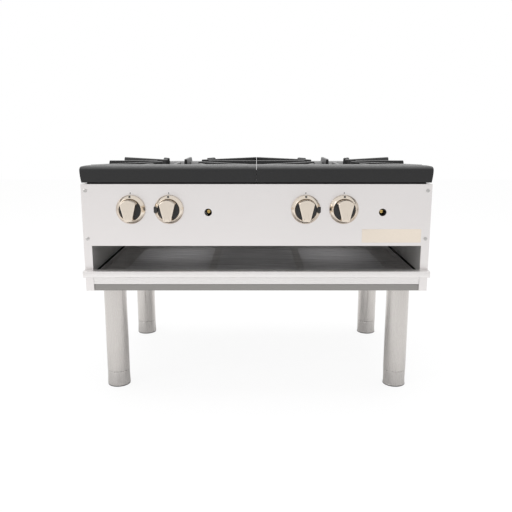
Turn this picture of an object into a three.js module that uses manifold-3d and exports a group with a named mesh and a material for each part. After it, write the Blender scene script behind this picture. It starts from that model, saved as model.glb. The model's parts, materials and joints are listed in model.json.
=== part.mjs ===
// Stock pot range: a free-standing gas range with two three-ring burners side by side under
// heavy cast grates, a full-width pull-out drip tray, and four round legs on levelling feet.
//
// Millimetres. +X is the range's right as its user sees it, +Y its back, +Z up.
// The pieces are drawn with y = 0 on the control panel's face and z = 0 on the floor. The
// last lines move them so that the origin lies under the middle of the whole range.

import * as THREE from 'three';
import { mergeVertices } from 'three/addons/utils/BufferGeometryUtils.js';
import Module from 'manifold-3d';

// ---------------------------------------------------------------- driving dimensions

// Clearances
const seat = 0.3; // between two pieces that rest on each other
const runningGap = 0.3; // round a stem or a plug in its bore

// Cabinet
const bodyWidth = 914.4;
const bodyDepth = 590;
const bodyHeight = 285.8; // from the cabinet's lower edge to the top of its side panels
const panelHeight = 163; // control panel, above the tray opening
const postWidth = 24; // front posts beside the tray opening
const sheet = 1.2; // stainless sheet
const frameSheet = 2; // folded steel of rails and runners
const bendRadius = 2.2;
const returnFlange = 20; // folded edges of the panels
const linerInset = 16.2; // from the outer face of a side panel to the face of its liner

// Legs and levelling feet
const legHeight = 290; // from the floor to the cabinet's lower edge
const legInset = 62.8; // leg axis from the cabinet's sides, front and back
const legRadius = 31;
const legWall = 1.5;
const legPlateWidth = 92;
const legPlateDepth = 66;
const legPlateThickness = 3;
const footHeight = 45; // the part of a foot that shows at rest
const footRadius = 32.3;
const footNeckRadius = 30.6; // where a foot meets its leg
const footNeckShare = 0.75; // height at which its taper ends
const footSoleRounding = 2.5;
const footPlugLength = 60;

// Base rails
const railHeight = 18;
const endRailDepth = 25;
const sideRailWidth = 110;

// Drip tray and its runners
const traySkirt = 18.5; // front wall below the tray's floor
const trayWall = 12; // side and rear walls above the floor
const trayFrontWall = 20.7; // front wall above the floor
const traySideGap = 1.7; // to each post
const trayDepth = 566;
const trayCornerRadius = 6;
const handleReach = 25; // ahead of the control panel
const handleLip = 17;
const handleHem = 6;
const runnerShelf = 27;
const runnerWebGap = 9; // from the liner to the runner's web

// Burners
const burnerSetback = 318; // burner axis behind the control panel
const ringRadii = { outer: 150, middle: 105, inner: 55 };
const ringWidth = 24;
const ringHeight = 25;
const ringBevel = 5;
const portCounts = { outer: 10, middle: 8, inner: 6 };
const portRadius = 2;
const portDepth = 5;
const portSides = 4;
const spokeCount = 4;
const spokeWidth = 16;
const tubeToRing = 3; // from the mixing tubes' top to the rings' underside
const tubeRadius = 18;
const tubeWall = 4;
const bellRadius = 22;
const throatRadius = 13;
const bellLength = 26;
const orificeGap = 4; // from an orifice to its mixing tube's mouth
const supportOffset = 114; // burner rails and burner feet from the burner's axis
const burnerFootSide = 18;
const burnerRailWidth = 24;
const burnerRailHeight = 39.7;

// Cross rails under the manifold and the burner rails
const crossRailHeight = 32;
const crossRailLift = 1.5; // above the tray opening
const frontCrossRailStart = 45;
const frontCrossRailDepth = 65;
const rearCrossRailDepth = 38;

// Gas train
const valveRise = 29.4; // knob axis above its valve's seat on the manifold
const valveOffsets = { outer: -100, inner: 0 }; // knob axis from the burner's axis
const pilotOffset = 102;
const pilotDrop = 8; // pilot screws below the knobs' axes
const pipeRadius = 13.35;
const pipeWall = 2.9;
const manifoldSetback = 62;
const manifoldOverhang = 36; // beyond the outermost valve
const manifoldCapRadius = 17;
const manifoldCapLength = 14;
const elbowRadius = 30;
const inletRunInset = 42; // axis of the inlet run from the right side
const inletReach = 18; // behind the cabinet
const inletHoleGap = 3;
const bossRadius = 12;
const bossHeight = 7;
const valveBodyRadius = 14;
const valveBodyLength = 46;
const valveNoseLength = 14;
const valveNoseRadius = 9;
const valveShoulder = 4; // slope from the nose to the body
const valveTail = 8; // slope from the body to the orifice hood
const orificeLength = 20;
const orificeRadius = 7.5;
const orificeTaper = 3;
const jetRadius = 1;
const stemRadius = 4;
const stemInValve = 24;
const stemInKnob = 26;
const stemEndGap = 2; // behind a stem's end, in its valve
const stemHoleRadius = 8;

// Pilots
const pilotHoleRadius = 10;
const pilotBodyRadius = 8;
const pilotTailRadius = 6.2;
const pilotTailLength = 5;
const pilotTailReach = 12; // from the manifold's axis to the tail's end
const pilotBodyLength = 38;
const pilotSetback = 20; // front of the pilot valve behind the panel's face
const pilotScrewRadius = 4.6;
const pilotScrewLength = 7;
const pilotSlotWidth = 1.4;
const pilotTubeRadius = 3.2;
const pilotTubeBend = 22;
const pilotTipRadius = 5;
const pilotTipLength = 16;
const pilotToRing = 4;

// Knobs
const knobRadius = 38;
const knobDialRadius = 28.5;
const knobHeight = 46;
const knobSkirtHeight = 15;
const knobSkirtRim = 4;
const knobSkirtRounding = 1.6;
const knobShoulderInset = 5; // from the rim to the start of the dial's face
const knobWellDepth = 4;
const knobPanelGap = 1.2;
const gripRadius = 25.5;
const gripTopHalfWidth = 20.5;
const gripShoulder = 13; // height above the axis where the grip is widest
const gripFootHalfWidth = 10;
const gripBevel = 2;

// Top grates
const seamWidth = 1.6; // between the two grates
const grateSideInset = 1.4; // outer edge from the cabinet's side
const grateTaper = 3.6; // how far the outer edge draws in to its foot
const grateTaperSteps = 3;
const grateShoulder = 66; // length over which the top falls to the outer corner
const grateShoulderDrop = 4.3;
const grateShoulderBend = 0.6; // share of that drop a quarter of the way along
const grateCornerRadius = 4;
const grateWidestDrop = 15; // level of the widest place below the nose's top
const rimHeight = 5.4; // locating rim below the front and outer edges
const rimSetback = { front: 9, side: 11.5 }; // rim behind those edges
const rimWidth = 6;
const ledgeHeight = 8; // ledge inside the walls, over the rim
const noseAhead = 8; // ahead of the control panel
const noseHeight = 49.9;
const noseRadius = 16;
const noseTopWidth = 14;
const noseBackSlope = 12;
const noseDraft = 3;
const grateWall = 9;
const fingerDrop = 5.85; // finger tops below the nose's top
const deckDrop = 20.5; // deck below the nose's top
const deckThickness = 8;
const grateRearInset = 2;
const bowlRimRadius = 210;
const bowlOpeningRadius = 166;
const bowlDepth = 13;
const bowlBead = 2; // rounded lip of the opening
const fingerTipRadius = 79; // from the burner's axis to the finger tips
const fingerWidth = 8.5;
const fingerDraft = 3.5;
const fingerCrown = 1.6; // broken top edges
const fingerDepth = 30;
const fingerTipDepth = 17;
const fingerTipRounding = 3;
const fingerEndRounding = 10;
const rearFingerInset = 22;
const shortFingerAngle = 22.5;
const shortFingerSpan = [173, 225];

// Panel screws
const screwHeadRadius = 5;
const screwHeadHeight = 2.4;
const screwShankRadius = 2;
const screwLength = 9;
const screwEdge = 11; // from the cabinet's side
const screwDrop = 17.1; // upper screws below the panel's top
const screwRise = 19; // lower screws above the tray opening

// ---------------------------------------------------------------- derived places

const halfWidth = bodyWidth / 2;
const burnerInset = halfWidth / 2; // a burner stands in the middle of its half
const cabinetBottom = legHeight;
const cabinetTop = cabinetBottom + bodyHeight;
const openingTop = cabinetTop - panelHeight;
const postInner = halfWidth - postWidth;
const panelBack = sheet + seat; // front face of what stands behind the control panel
const linerFace = halfWidth - linerInset;
const railTop = cabinetBottom + railHeight;
const trayFloorBottom = railTop + seat + traySkirt;
const trayHalfWidth = postInner - traySideGap;
const crossRailBottom = openingTop + crossRailLift;
const crossRailTop = crossRailBottom + crossRailHeight;
const manifoldHeight = crossRailTop + seat + pipeRadius;
const bossTop = manifoldHeight + pipeRadius + bossHeight;
const valveHeight = bossTop + seat + valveRise; // knob axis above the floor
const pilotHeight = valveHeight - pilotDrop;
const burnerRailTop = crossRailTop + seat + burnerRailHeight;
const ringBottom = valveHeight + tubeRadius + tubeToRing;
const ringTop = ringBottom + ringHeight;
const valveBack = manifoldSetback + valveBodyLength / 2;
const valveFront = manifoldSetback - valveBodyLength / 2;
const mouthSetback = valveBack + orificeLength + orificeGap;
const grateBottom = cabinetTop + seat;
const ledgeTop = grateBottom + rimHeight + ledgeHeight;
const noseTop = grateBottom + noseHeight;
const deckTop = noseTop - deckDrop;
const fingerTop = noseTop - fingerDrop;
const innerFace = bendRadius + seat; // what stands inside a side panel clears its bends
const backPanelFace = bodyDepth - 2 * sheet - seat;

// ---------------------------------------------------------------- finishes

const finish = (name, color, metalness, roughness) =>
	new THREE.MeshStandardMaterial({ name, color, metalness, roughness });

const brushedSteel = () => finish('brushed_steel', 0xdcd9d8, 0.9, 0.38);
const galvanised = () => finish('galvanised_steel', 0x8c8a86, 0.8, 0.5);
const castIron = () => finish('cast_iron', 0x343434, 0.35, 0.62);
const blackPipe = () => finish('black_pipe', 0x2b2b2d, 0.5, 0.5);
const brass = () => finish('brass', 0xb08d4a, 0.95, 0.32);
const polishedNickel = () => finish('polished_nickel', 0xd6cfc0, 1, 0.14);
const zincScrew = () => finish('zinc_screw', 0xb9b6b2, 0.9, 0.35);

// ---------------------------------------------------------------- solids and profiles

const wasm = await Module();
wasm.setup();

// A closed geometry as a solid that can be joined and cut.
function solidOf(geometry) {
	const bare = geometry.clone();
	bare.deleteAttribute('normal');
	bare.deleteAttribute('uv');
	const merged = mergeVertices(bare, 1e-4);
	return new wasm.Manifold(new wasm.Mesh({
		numProp: 3,
		vertProperties: new Float32Array(merged.attributes.position.array),
		triVerts: new Uint32Array(merged.index.array),
	}));
}

function geometryOf(solid) {
	const mesh = solid.getMesh();
	const geometry = new THREE.BufferGeometry();
	geometry.setAttribute('position', new THREE.BufferAttribute(mesh.vertProperties, 3));
	geometry.setIndex(new THREE.BufferAttribute(mesh.triVerts, 1));
	geometry.computeVertexNormals();
	return geometry;
}

const joined = (first, ...others) =>
	geometryOf(others.reduce((sum, next) => sum.add(solidOf(next)), solidOf(first)));

const cut = (body, ...tools) =>
	geometryOf(tools.reduce((rest, tool) => rest.subtract(solidOf(tool)), solidOf(body)));

const common = (first, second) => geometryOf(solidOf(first).intersect(solidOf(second)));

// Extrusions. A shape's axes are the two named first, and it is pulled along the third.
function extrude(shape, length, curveSegments = 6) {
	return new THREE.ExtrudeGeometry(shape, { depth: length, bevelEnabled: false, curveSegments });
}

const axisX = new THREE.Vector3(1, 0, 0);
const axisY = new THREE.Vector3(0, 1, 0);
const axisZ = new THREE.Vector3(0, 0, 1);

function alongX(shapeYZ, fromX, toX, curveSegments) {
	const turn = new THREE.Matrix4().makeBasis(axisY, axisZ, axisX);
	return extrude(shapeYZ, toX - fromX, curveSegments).applyMatrix4(turn).translate(fromX, 0, 0);
}

function alongY(shapeXZ, fromY, toY, curveSegments) {
	const turn = new THREE.Matrix4().makeBasis(axisX, axisZ, axisY.clone().negate());
	return extrude(shapeXZ, toY - fromY, curveSegments).applyMatrix4(turn).translate(0, toY, 0);
}

function alongZ(shapeXY, fromZ, toZ, curveSegments) {
	return extrude(shapeXY, toZ - fromZ, curveSegments).translate(0, 0, fromZ);
}

function block(x, y, z) {
	const size = [x, y, z].map(([low, high]) => high - low);
	const middle = [x, y, z].map(([low, high]) => (low + high) / 2);
	return new THREE.BoxGeometry(...size).translate(...middle);
}

function rectangle(x, y) {
	return polygon([[x[0], y[0]], [x[1], y[0]], [x[1], y[1]], [x[0], y[1]]]);
}

function polygon(points) {
	return new THREE.Shape(points.map(([u, v]) => new THREE.Vector2(u, v)));
}

function roundedRectangle(x, y, radius) {
	const corners = [[x[0], y[0]], [x[1], y[0]], [x[1], y[1]], [x[0], y[1]]];
	return polygon(rounded(corners, radius, true, 2));
}

// A list of points with each corner replaced by an arc. An open list keeps its two ends.
function rounded(points, radius, closed = false, steps = 3) {
	const result = [];
	points.forEach((corner, i) => {
		const isEnd = !closed && (i === 0 || i === points.length - 1);
		if (isEnd) {
			result.push(corner);
			return;
		}
		const here = new THREE.Vector2(...corner);
		const before = new THREE.Vector2(...points[(i + points.length - 1) % points.length]).sub(here);
		const after = new THREE.Vector2(...points[(i + 1) % points.length]).sub(here);
		const half = Math.abs(before.angleTo(after)) / 2;
		const along = radius / Math.tan(half);
		const start = here.clone().add(before.normalize().multiplyScalar(along));
		const end = here.clone().add(after.normalize().multiplyScalar(along));
		const bisector = before.clone().add(after).normalize();
		const centre = here.clone().add(bisector.multiplyScalar(radius / Math.sin(half)));
		const from = start.clone().sub(centre).angle();
		let sweep = end.clone().sub(centre).angle() - from;
		if (sweep > Math.PI) sweep -= 2 * Math.PI;
		if (sweep < -Math.PI) sweep += 2 * Math.PI;
		for (let k = 0; k <= steps; k += 1) {
			const angle = from + (sweep * k) / steps;
			result.push([centre.x + radius * Math.cos(angle), centre.y + radius * Math.sin(angle)]);
		}
	});
	return result;
}

// The section of a folded sheet: a path along its outer skin, and the same path moved in by
// the sheet's thickness, to the left of the path where the thickness is positive.
function foldedSheet(path, thickness, radius = bendRadius) {
	const outer = path.length > 2 ? rounded(path, radius) : path;
	const inner = outer.map((point, i) => {
		const here = new THREE.Vector2(...point);
		const next = new THREE.Vector2(...outer[Math.min(i + 1, outer.length - 1)]);
		const last = new THREE.Vector2(...outer[Math.max(i - 1, 0)]);
		const ahead = next.sub(here);
		const behind = here.clone().sub(last);
		if (ahead.length() === 0) ahead.copy(behind);
		if (behind.length() === 0) behind.copy(ahead);
		const sideAhead = new THREE.Vector2(-ahead.y, ahead.x).normalize();
		const sideBehind = new THREE.Vector2(-behind.y, behind.x).normalize();
		const side = sideAhead.clone().add(sideBehind).normalize();
		const move = thickness / side.dot(sideAhead);
		return [here.x + side.x * move, here.y + side.y * move];
	});
	return polygon([...outer, ...inner.reverse()]);
}

// Turned pieces. A profile is a list of [radius, distance along the axis].
function turned(profile, segments) {
	const points = profile.map(([r, z]) => new THREE.Vector2(r, z));
	return new THREE.LatheGeometry(points, segments).rotateX(Math.PI / 2);
}

// A turned piece whose axis points forward, out of the control panel.
const turnedForward = (profile, segments) => turned(profile, segments).rotateX(Math.PI / 2);

// A turned piece whose axis points to the back.
const turnedBack = (profile, segments) => turned(profile, segments).rotateX(-Math.PI / 2);

function rod(radius, from, to, segments = 20) {
	const profile = [[0, from], [radius, from], [radius, to], [0, to]];
	return turned(profile, segments);
}

const rodX = (radius, from, to, segments) => rod(radius, from, to, segments).rotateY(Math.PI / 2);
const rodY = (radius, from, to, segments) => rod(radius, from, to, segments).rotateX(-Math.PI / 2);

// ---------------------------------------------------------------- assembly

const range = new THREE.Group();

function add(name, geometry, material, place = [0, 0, 0], parent = range) {
	const mesh = new THREE.Mesh(geometry, material);
	mesh.name = name;
	mesh.position.set(...place);
	parent.add(mesh);
	return mesh;
}

const sides = [{ name: 'left', sign: -1 }, { name: 'right', sign: 1 }];
const ends = [
	{ name: 'front', y: legInset },
	{ name: 'rear', y: bodyDepth - legInset },
];

const span = (a, b) => (a < b ? [a, b] : [b, a]);

// ---------------------------------------------------------------- cabinet

// A side panel is folded to a channel: its front flange carries the control panel's post and
// its rear flange closes the corner. A flange along the top carries the grate.
function sidePanel(sign) {
	const outer = sign * halfWidth;
	const path = [
		[sign * postInner, panelBack],
		[outer, panelBack],
		[outer, bodyDepth],
		[outer - sign * returnFlange, bodyDepth],
	];
	const channel = alongZ(foldedSheet(path, sign * sheet), cabinetBottom, cabinetTop);
	const topFlange = block(
		span(outer - sign * (sheet / 2), outer - sign * returnFlange),
		[panelBack + bendRadius, bodyDepth - bendRadius],
		[cabinetTop - sheet, cabinetTop],
	);
	const holes = screwPlaces(sign).map(([x, z]) =>
		rodY(screwShankRadius + runningGap, 0, panelBack + 2 * sheet, 10).translate(x, 0, z));
	return cut(joined(channel, topFlange), ...holes);
}

function screwPlaces(sign) {
	const x = sign * (halfWidth - screwEdge);
	return [[x, cabinetTop - screwDrop], [x, openingTop + screwRise]];
}

// The control panel runs on down both sides of the tray opening as the two front posts. Its
// top and its lower edge are folded back.
function controlPanel() {
	const outline = polygon([
		[-halfWidth, cabinetBottom], [-postInner, cabinetBottom], [-postInner, openingTop],
		[postInner, openingTop], [postInner, cabinetBottom], [halfWidth, cabinetBottom],
		[halfWidth, cabinetTop], [-halfWidth, cabinetTop],
	]);
	const hole = (x, z, radius) => {
		outline.holes.push(new THREE.Path().absarc(x, z, radius, 0, 2 * Math.PI));
	};
	for (const { sign } of sides) {
		const middle = sign * burnerInset;
		for (const offset of Object.values(valveOffsets)) hole(middle + offset, valveHeight, stemHoleRadius);
		hole(middle + pilotOffset, pilotHeight, pilotHoleRadius);
		for (const [x, z] of screwPlaces(sign)) hole(x, z, screwShankRadius + runningGap);
	}
	const flangeX = [-postInner + bendRadius, postInner - bendRadius];
	const flangeY = [sheet / 2, returnFlange];
	const topFlange = block(flangeX, flangeY, [cabinetTop - sheet, cabinetTop]);
	const lowerFlange = block(flangeX, flangeY, [openingTop, openingTop + sheet]);
	return joined(alongY(outline, 0, sheet, 8), topFlange, lowerFlange);
}

function backPanel() {
	const x = [-halfWidth + innerFace, halfWidth - innerFace];
	const z = [cabinetBottom, cabinetTop - sheet - seat];
	const plate = block(x, [backPanelFace, backPanelFace + sheet], z);
	const flangeX = [-linerFace + returnFlange, linerFace - returnFlange];
	const flangeY = [backPanelFace - returnFlange, backPanelFace + sheet / 2];
	const flange = block(flangeX, flangeY, [z[1] - sheet, z[1]]);
	const inletHole = rodY(pipeRadius + inletHoleGap, backPanelFace - sheet, bodyDepth, 24)
		.translate(halfWidth - inletRunInset, 0, manifoldHeight);
	return cut(joined(plate, flange), inletHole);
}

// A liner stands between the tray bay and a side panel. Its foot rests on the side base rail.
function liner(sign) {
	const foot = railTop + seat;
	const path = [
		[sign * (halfWidth - innerFace), foot],
		[sign * linerFace, foot],
		[sign * linerFace, cabinetTop - sheet - seat],
	];
	return alongY(foldedSheet(path, -sign * sheet), panelBack + sheet + seat, backPanelFace - seat);
}

// The base rails are channels that open downwards.
function channelPath(low, high, bottom, top) {
	return [[low, bottom], [low, top], [high, top], [high, bottom]];
}

function endRail(isFront) {
	const low = isFront ? panelBack + sheet + seat : backPanelFace - seat - endRailDepth;
	const path = channelPath(low, low + endRailDepth, cabinetBottom, railTop);
	const reach = halfWidth - innerFace;
	return alongX(foldedSheet(path, -frameSheet), -reach, reach);
}

function sideRail(sign) {
	const outer = halfWidth - innerFace;
	const low = sign > 0 ? outer - sideRailWidth : -outer;
	const path = channelPath(low, low + sideRailWidth, cabinetBottom, railTop);
	const start = panelBack + sheet + seat + endRailDepth + seat;
	const end = backPanelFace - seat - endRailDepth - seat;
	return alongY(foldedSheet(path, -frameSheet), start, end);
}

// A runner is a Z section: its foot rests on the side base rail and its shelf carries the tray.
function trayRunner(sign) {
	const web = linerFace - runnerWebGap;
	const foot = railTop + seat + sheet;
	const shelf = trayFloorBottom - seat;
	const path = [
		[sign * (linerFace - seat - sheet), foot],
		[sign * web, foot],
		[sign * web, shelf],
		[sign * (web - runnerShelf), shelf],
	];
	const start = panelBack + sheet + seat + endRailDepth + seat;
	const end = backPanelFace - seat - endRailDepth;
	return alongY(foldedSheet(path, sign * sheet), start, end);
}

function crossRail(start, depth) {
	const path = channelPath(start, start + depth, crossRailBottom, crossRailTop);
	return alongX(foldedSheet(path, -frameSheet), -(linerFace - seat), linerFace - seat);
}

const rearCrossRailStart = backPanelFace - seat - rearCrossRailDepth;

function burnerRail() {
	const half = burnerRailWidth / 2;
	const path = channelPath(-half, half, crossRailTop + seat, burnerRailTop);
	const start = manifoldSetback + pipeRadius + 2 * seat + bendRadius;
	return alongY(foldedSheet(path, -frameSheet), start, backPanelFace - seat);
}

// The head lies on the control panel and the shank goes through the side panel's flange.
function panelScrew() {
	const head = screwHeadHeight;
	const edge = 0.4 * head;
	return turnedForward([
		[0, -screwLength],
		[screwShankRadius, -screwLength],
		[screwShankRadius, seat],
		[screwHeadRadius, seat],
		[screwHeadRadius, seat + edge],
		[0.75 * screwHeadRadius, 0.85 * head + seat],
		[0, head + seat],
	], 10);
}

function buildCabinet() {
	add('control_panel', controlPanel(), brushedSteel());
	add('back_panel', backPanel(), galvanised());
	add('base_front_rail', endRail(true), galvanised());
	add('base_rear_rail', endRail(false), galvanised());
	add('front_cross_rail', crossRail(frontCrossRailStart, frontCrossRailDepth), galvanised());
	add('rear_cross_rail', crossRail(rearCrossRailStart, rearCrossRailDepth), galvanised());
	for (const { name, sign } of sides) {
		add(`${name}_side_panel`, sidePanel(sign), brushedSteel());
		add(`${name}_liner`, liner(sign), galvanised());
		add(`base_${name}_rail`, sideRail(sign), galvanised());
		add(`${name}_tray_runner`, trayRunner(sign), galvanised());
		for (const { name: part, turn } of [{ name: 'outer', turn: 1 }, { name: 'inner', turn: -1 }]) {
			const x = sign * (burnerInset + turn * supportOffset);
			add(`${name}_${part}_burner_rail`, burnerRail(), galvanised(), [x, 0, 0]);
		}
		screwPlaces(sign).forEach(([x, z], i) => {
			const level = i === 0 ? 'upper' : 'lower';
			add(`panel_screw_${name}_${level}`, panelScrew(), zincScrew(), [x, 0, z]);
		});
	}
}

// ---------------------------------------------------------------- legs and feet

// A leg is a round tube under a square plate, which lies under the web of a side base rail.
function leg() {
	const plateTop = railTop - frameSheet - seat;
	const plateBottom = plateTop - legPlateThickness;
	const inner = legRadius - legWall;
	const tube = turned([
		[inner, footHeight],
		[legRadius, footHeight],
		[legRadius, plateBottom + legPlateThickness / 2],
		[inner, plateBottom + legPlateThickness / 2],
		[inner, footHeight],
	], 18);
	const reach = [legPlateWidth / 2, legPlateDepth / 2];
	const plate = roundedRectangle(...reach.map((half) => [-half, half]), legPlateThickness);
	return joined(tube, alongZ(plate, plateBottom, plateTop));
}

// A levelling foot: a plug that screws into the leg, over a tapered shoe with a rounded sole.
function foot() {
	const plug = legRadius - legWall - runningGap;
	const top = footHeight - seat;
	return turned([
		[0, 0],
		[footRadius - footSoleRounding, 0],
		[footRadius, footSoleRounding],
		[footNeckRadius, footNeckShare * footHeight],
		[footNeckRadius, top],
		[plug, top],
		[plug, footHeight + footPlugLength],
		[0, footHeight + footPlugLength],
	], 18);
}

function buildLegs() {
	for (const { name: end, y } of ends) {
		for (const { name: side, sign } of sides) {
			const place = [sign * (halfWidth - legInset), y, 0];
			add(`${end}_${side}_leg`, leg(), brushedSteel(), place);
			add(`${end}_${side}_foot`, foot(), brushedSteel(), place);
		}
	}
}

// ---------------------------------------------------------------- drip tray

// An open pan whose front wall runs on below its floor. The front wall's top is folded
// forward over the posts as a full-width pull, with a lip turned down and hemmed.
function dripTray() {
	const floorTop = trayFloorBottom + sheet;
	const frontTop = floorTop + trayFrontWall;
	const wallTop = floorTop + trayWall;
	const x = [-trayHalfWidth, trayHalfWidth];
	const inside = ([low, high]) => [low + sheet, high - sheet];
	const pan = roundedRectangle(x, [0, trayDepth], trayCornerRadius);
	const hollow = roundedRectangle(inside(x), inside([0, trayDepth]), trayCornerRadius - sheet);
	const shell = cut(alongZ(pan, trayFloorBottom, wallTop), alongZ(hollow, floorTop, wallTop + sheet));
	const front = alongX(foldedSheet([
		[-handleReach / 2, frontTop],
		[sheet, frontTop],
		[sheet, railTop + seat],
	], -sheet), ...x);
	const pull = alongX(foldedSheet([
		[-seat, frontTop],
		[-handleReach, frontTop],
		[-handleReach, frontTop - handleLip],
		[-handleReach + handleHem, frontTop - handleLip],
	], sheet), -halfWidth, halfWidth);
	return joined(shell, front, pull);
}

// ---------------------------------------------------------------- top grates

// Seen from the front, the casting's outline: upright at the seam, and at the outer side a long
// shoulder, a rounded corner and a curve that draws in to the foot as the square of the drop.
function grateOutline(sign) {
	const seam = sign * seamWidth / 2;
	const side = (inset, drop) => [sign * (halfWidth - grateSideInset - inset), noseTop - drop];
	const taper = Array.from({ length: grateTaperSteps }, (_, i) => {
		const share = 1 - i / grateTaperSteps;
		return side(grateTaper * share ** 2, grateWidestDrop + (noseHeight - grateWidestDrop) * share);
	});
	const corner = rounded([
		side(0, grateWidestDrop),
		side(0, grateShoulderDrop),
		side(grateShoulder / 4, grateShoulderDrop * grateShoulderBend),
	], grateCornerRadius, false, 3);
	return polygon([
		[seam, grateBottom],
		...taper,
		...corner,
		side(grateShoulder, 0),
		[seam, noseTop],
	]);
}

// The nose in section: a bull-nosed apron that is hollow from below and falls to the deck. A
// ledge inside its foot carries the rim. The ends of the nose are solid.
function noseSection(isHollow) {
	const front = -noseAhead;
	const topEnd = front + noseRadius + noseTopWidth;
	const back = topEnd + noseBackSlope;
	const skin = [
		[front + noseDraft, grateBottom],
		[front, grateBottom + 3 * noseDraft],
		[front, noseTop],
		[topEnd, noseTop],
		[back, deckTop],
	];
	const crown = rounded(skin.slice(1, 4), noseRadius, false, 6);
	const outside = [skin[0], ...crown, skin[4]];
	if (!isHollow) return polygon([...outside, [back, grateBottom]]);
	const under = deckTop - deckThickness;
	const footEnd = front + noseDraft + rimSetback.front + rimWidth;
	return polygon([
		...outside,
		[back, under],
		[back - grateWall, under],
		[topEnd - grateWall, noseTop - grateWall],
		[front + noseRadius, noseTop - grateWall],
		[front + grateWall, noseTop - noseRadius],
		[front + noseDraft + grateWall, ledgeTop],
		[footEnd, ledgeTop],
		[footEnd, grateBottom],
	]);
}

// A finger stands on edge and points at the burner's axis. Its section narrows upwards, and
// its underside rises towards the tip.
function finger(angle, from, to) {
	const bottom = fingerTop - fingerDepth;
	const foot = fingerWidth + fingerDraft;
	const half = fingerWidth / 2;
	const section = polygon([
		[-foot / 2, bottom], [foot / 2, bottom],
		[half, fingerTop - fingerCrown], [half - fingerCrown, fingerTop],
		[fingerCrown - half, fingerTop], [-half, fingerTop - fingerCrown],
	]);
	const tip = [[from, fingerTop - fingerTipDepth], [from, fingerTop]];
	const end = [[to, fingerTop], [to, deckTop - deckThickness]];
	const upper = [
		...rounded([...tip, end[0]], fingerTipRounding, false, 1).slice(0, -1),
		...rounded([tip[1], ...end], fingerEndRounding, false, 3).slice(1),
	];
	const reachesIn = from < bowlOpeningRadius;
	const profile = polygon(reachesIn ? [...upper, [bowlOpeningRadius, bottom]] : upper);
	const bar = alongX(section, from - foot, to + foot);
	const side = alongY(profile, -foot, foot);
	return common(bar, side).rotateZ(angle);
}

// Eight long fingers, one each 45 degrees, and short ones beside the front and rear fingers.
// The side and diagonal fingers run out past the casting's outline, which trims them.
function fingers() {
	const side = burnerInset + fingerWidth;
	const rear = bodyDepth - burnerSetback - rearFingerInset;
	const front = burnerSetback - noseRadius - noseTopWidth;
	const diagonal = Math.SQRT2 * side;
	const reaches = [side, diagonal, rear, diagonal, side, diagonal, front, diagonal];
	const long = reaches.map((reach, i) => finger((i * Math.PI) / 4, fingerTipRadius, reach));
	const turn = THREE.MathUtils.degToRad(shortFingerAngle);
	const short = [Math.PI / 2, -Math.PI / 2].flatMap((middle) =>
		[-turn, turn].map((side) => finger(middle + side, ...shortFingerSpan)));
	return [...long, ...short];
}

// The bowl falls from the deck to the round opening over the burner and ends in a bead.
function grateBowl() {
	const lipTop = deckTop - bowlDepth;
	return turned([
		[bowlRimRadius + grateWall, deckTop],
		[bowlRimRadius, deckTop],
		[bowlOpeningRadius + grateWall, lipTop],
		[bowlOpeningRadius + bowlBead, lipTop + bowlBead / 2],
		[bowlOpeningRadius, lipTop - bowlBead / 2],
		[bowlOpeningRadius, lipTop - deckThickness],
		[bowlOpeningRadius + grateWall, lipTop - deckThickness],
		[bowlRimRadius + grateWall, deckTop - deckThickness],
		[bowlRimRadius + grateWall, deckTop],
	], 28);
}

function topGrate(sign) {
	const inner = sign * (seamWidth / 2 - burnerInset);
	const outer = sign * (halfWidth - grateSideInset - burnerInset);
	const x = span(inner, outer);
	const y = [-noseAhead - burnerSetback, bodyDepth - grateRearInset - burnerSetback];
	const noseBack = y[0] + noseRadius + noseTopWidth;
	const hollowY = [noseBack - 1, y[1] - grateWall];
	const seamWall = inner + sign * grateWall;
	const outerWall = outer - sign * (grateTaper + grateWall);
	const rimOuter = outer - sign * (grateTaper + rimSetback.side);
	const skirt = cut(
		block(x, [noseBack, y[1]], [grateBottom, deckTop]),
		block(span(seamWall, outerWall), hollowY, [ledgeTop, deckTop - deckThickness]),
		block(span(seamWall, rimOuter - sign * rimWidth), hollowY, [grateBottom - 1, ledgeTop + 1]),
		rod(bowlRimRadius + grateWall / 2, ledgeTop, deckTop + 1, 28),
	);
	const noseReaches = [
		{ reach: x, isHollow: true },
		{ reach: span(inner, seamWall), isHollow: false },
		{ reach: span(outer, outerWall), isHollow: false },
	];
	const nose = noseReaches.map(({ reach, isHollow }) =>
		alongX(noseSection(isHollow), ...reach, 6).translate(0, -burnerSetback, 0));
	const outline = alongY(grateOutline(sign), y[0], y[1] + 1).translate(-sign * burnerInset, 0, 0);
	const casting = common(joined(skirt, grateBowl(), ...nose, ...fingers()), outline);
	const raised = [grateBottom - 1, grateBottom + rimHeight];
	return cut(
		casting,
		block(x, [y[0] - 1, y[0] + noseDraft + rimSetback.front], raised),
		block(span(outer, rimOuter), [y[0] - 1, y[1] + 1], raised),
	);
}

// ---------------------------------------------------------------- burners

function burnerRing(radius) {
	const low = radius - ringWidth / 2;
	const high = radius + ringWidth / 2;
	return turned([
		[low, ringBottom],
		[high, ringBottom],
		[high, ringTop - ringBevel],
		[high - ringBevel, ringTop],
		[low + ringBevel, ringTop],
		[low, ringTop - ringBevel],
		[low, ringBottom],
	], 18);
}

function ports(radius, count) {
	return Array.from({ length: count }, (_, i) => {
		const angle = ((i + 0.5) * 2 * Math.PI) / count;
		return rod(portRadius, ringTop - portDepth, ringTop + 1, portSides)
			.translate(radius * Math.cos(angle), radius * Math.sin(angle), 0);
	});
}

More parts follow.
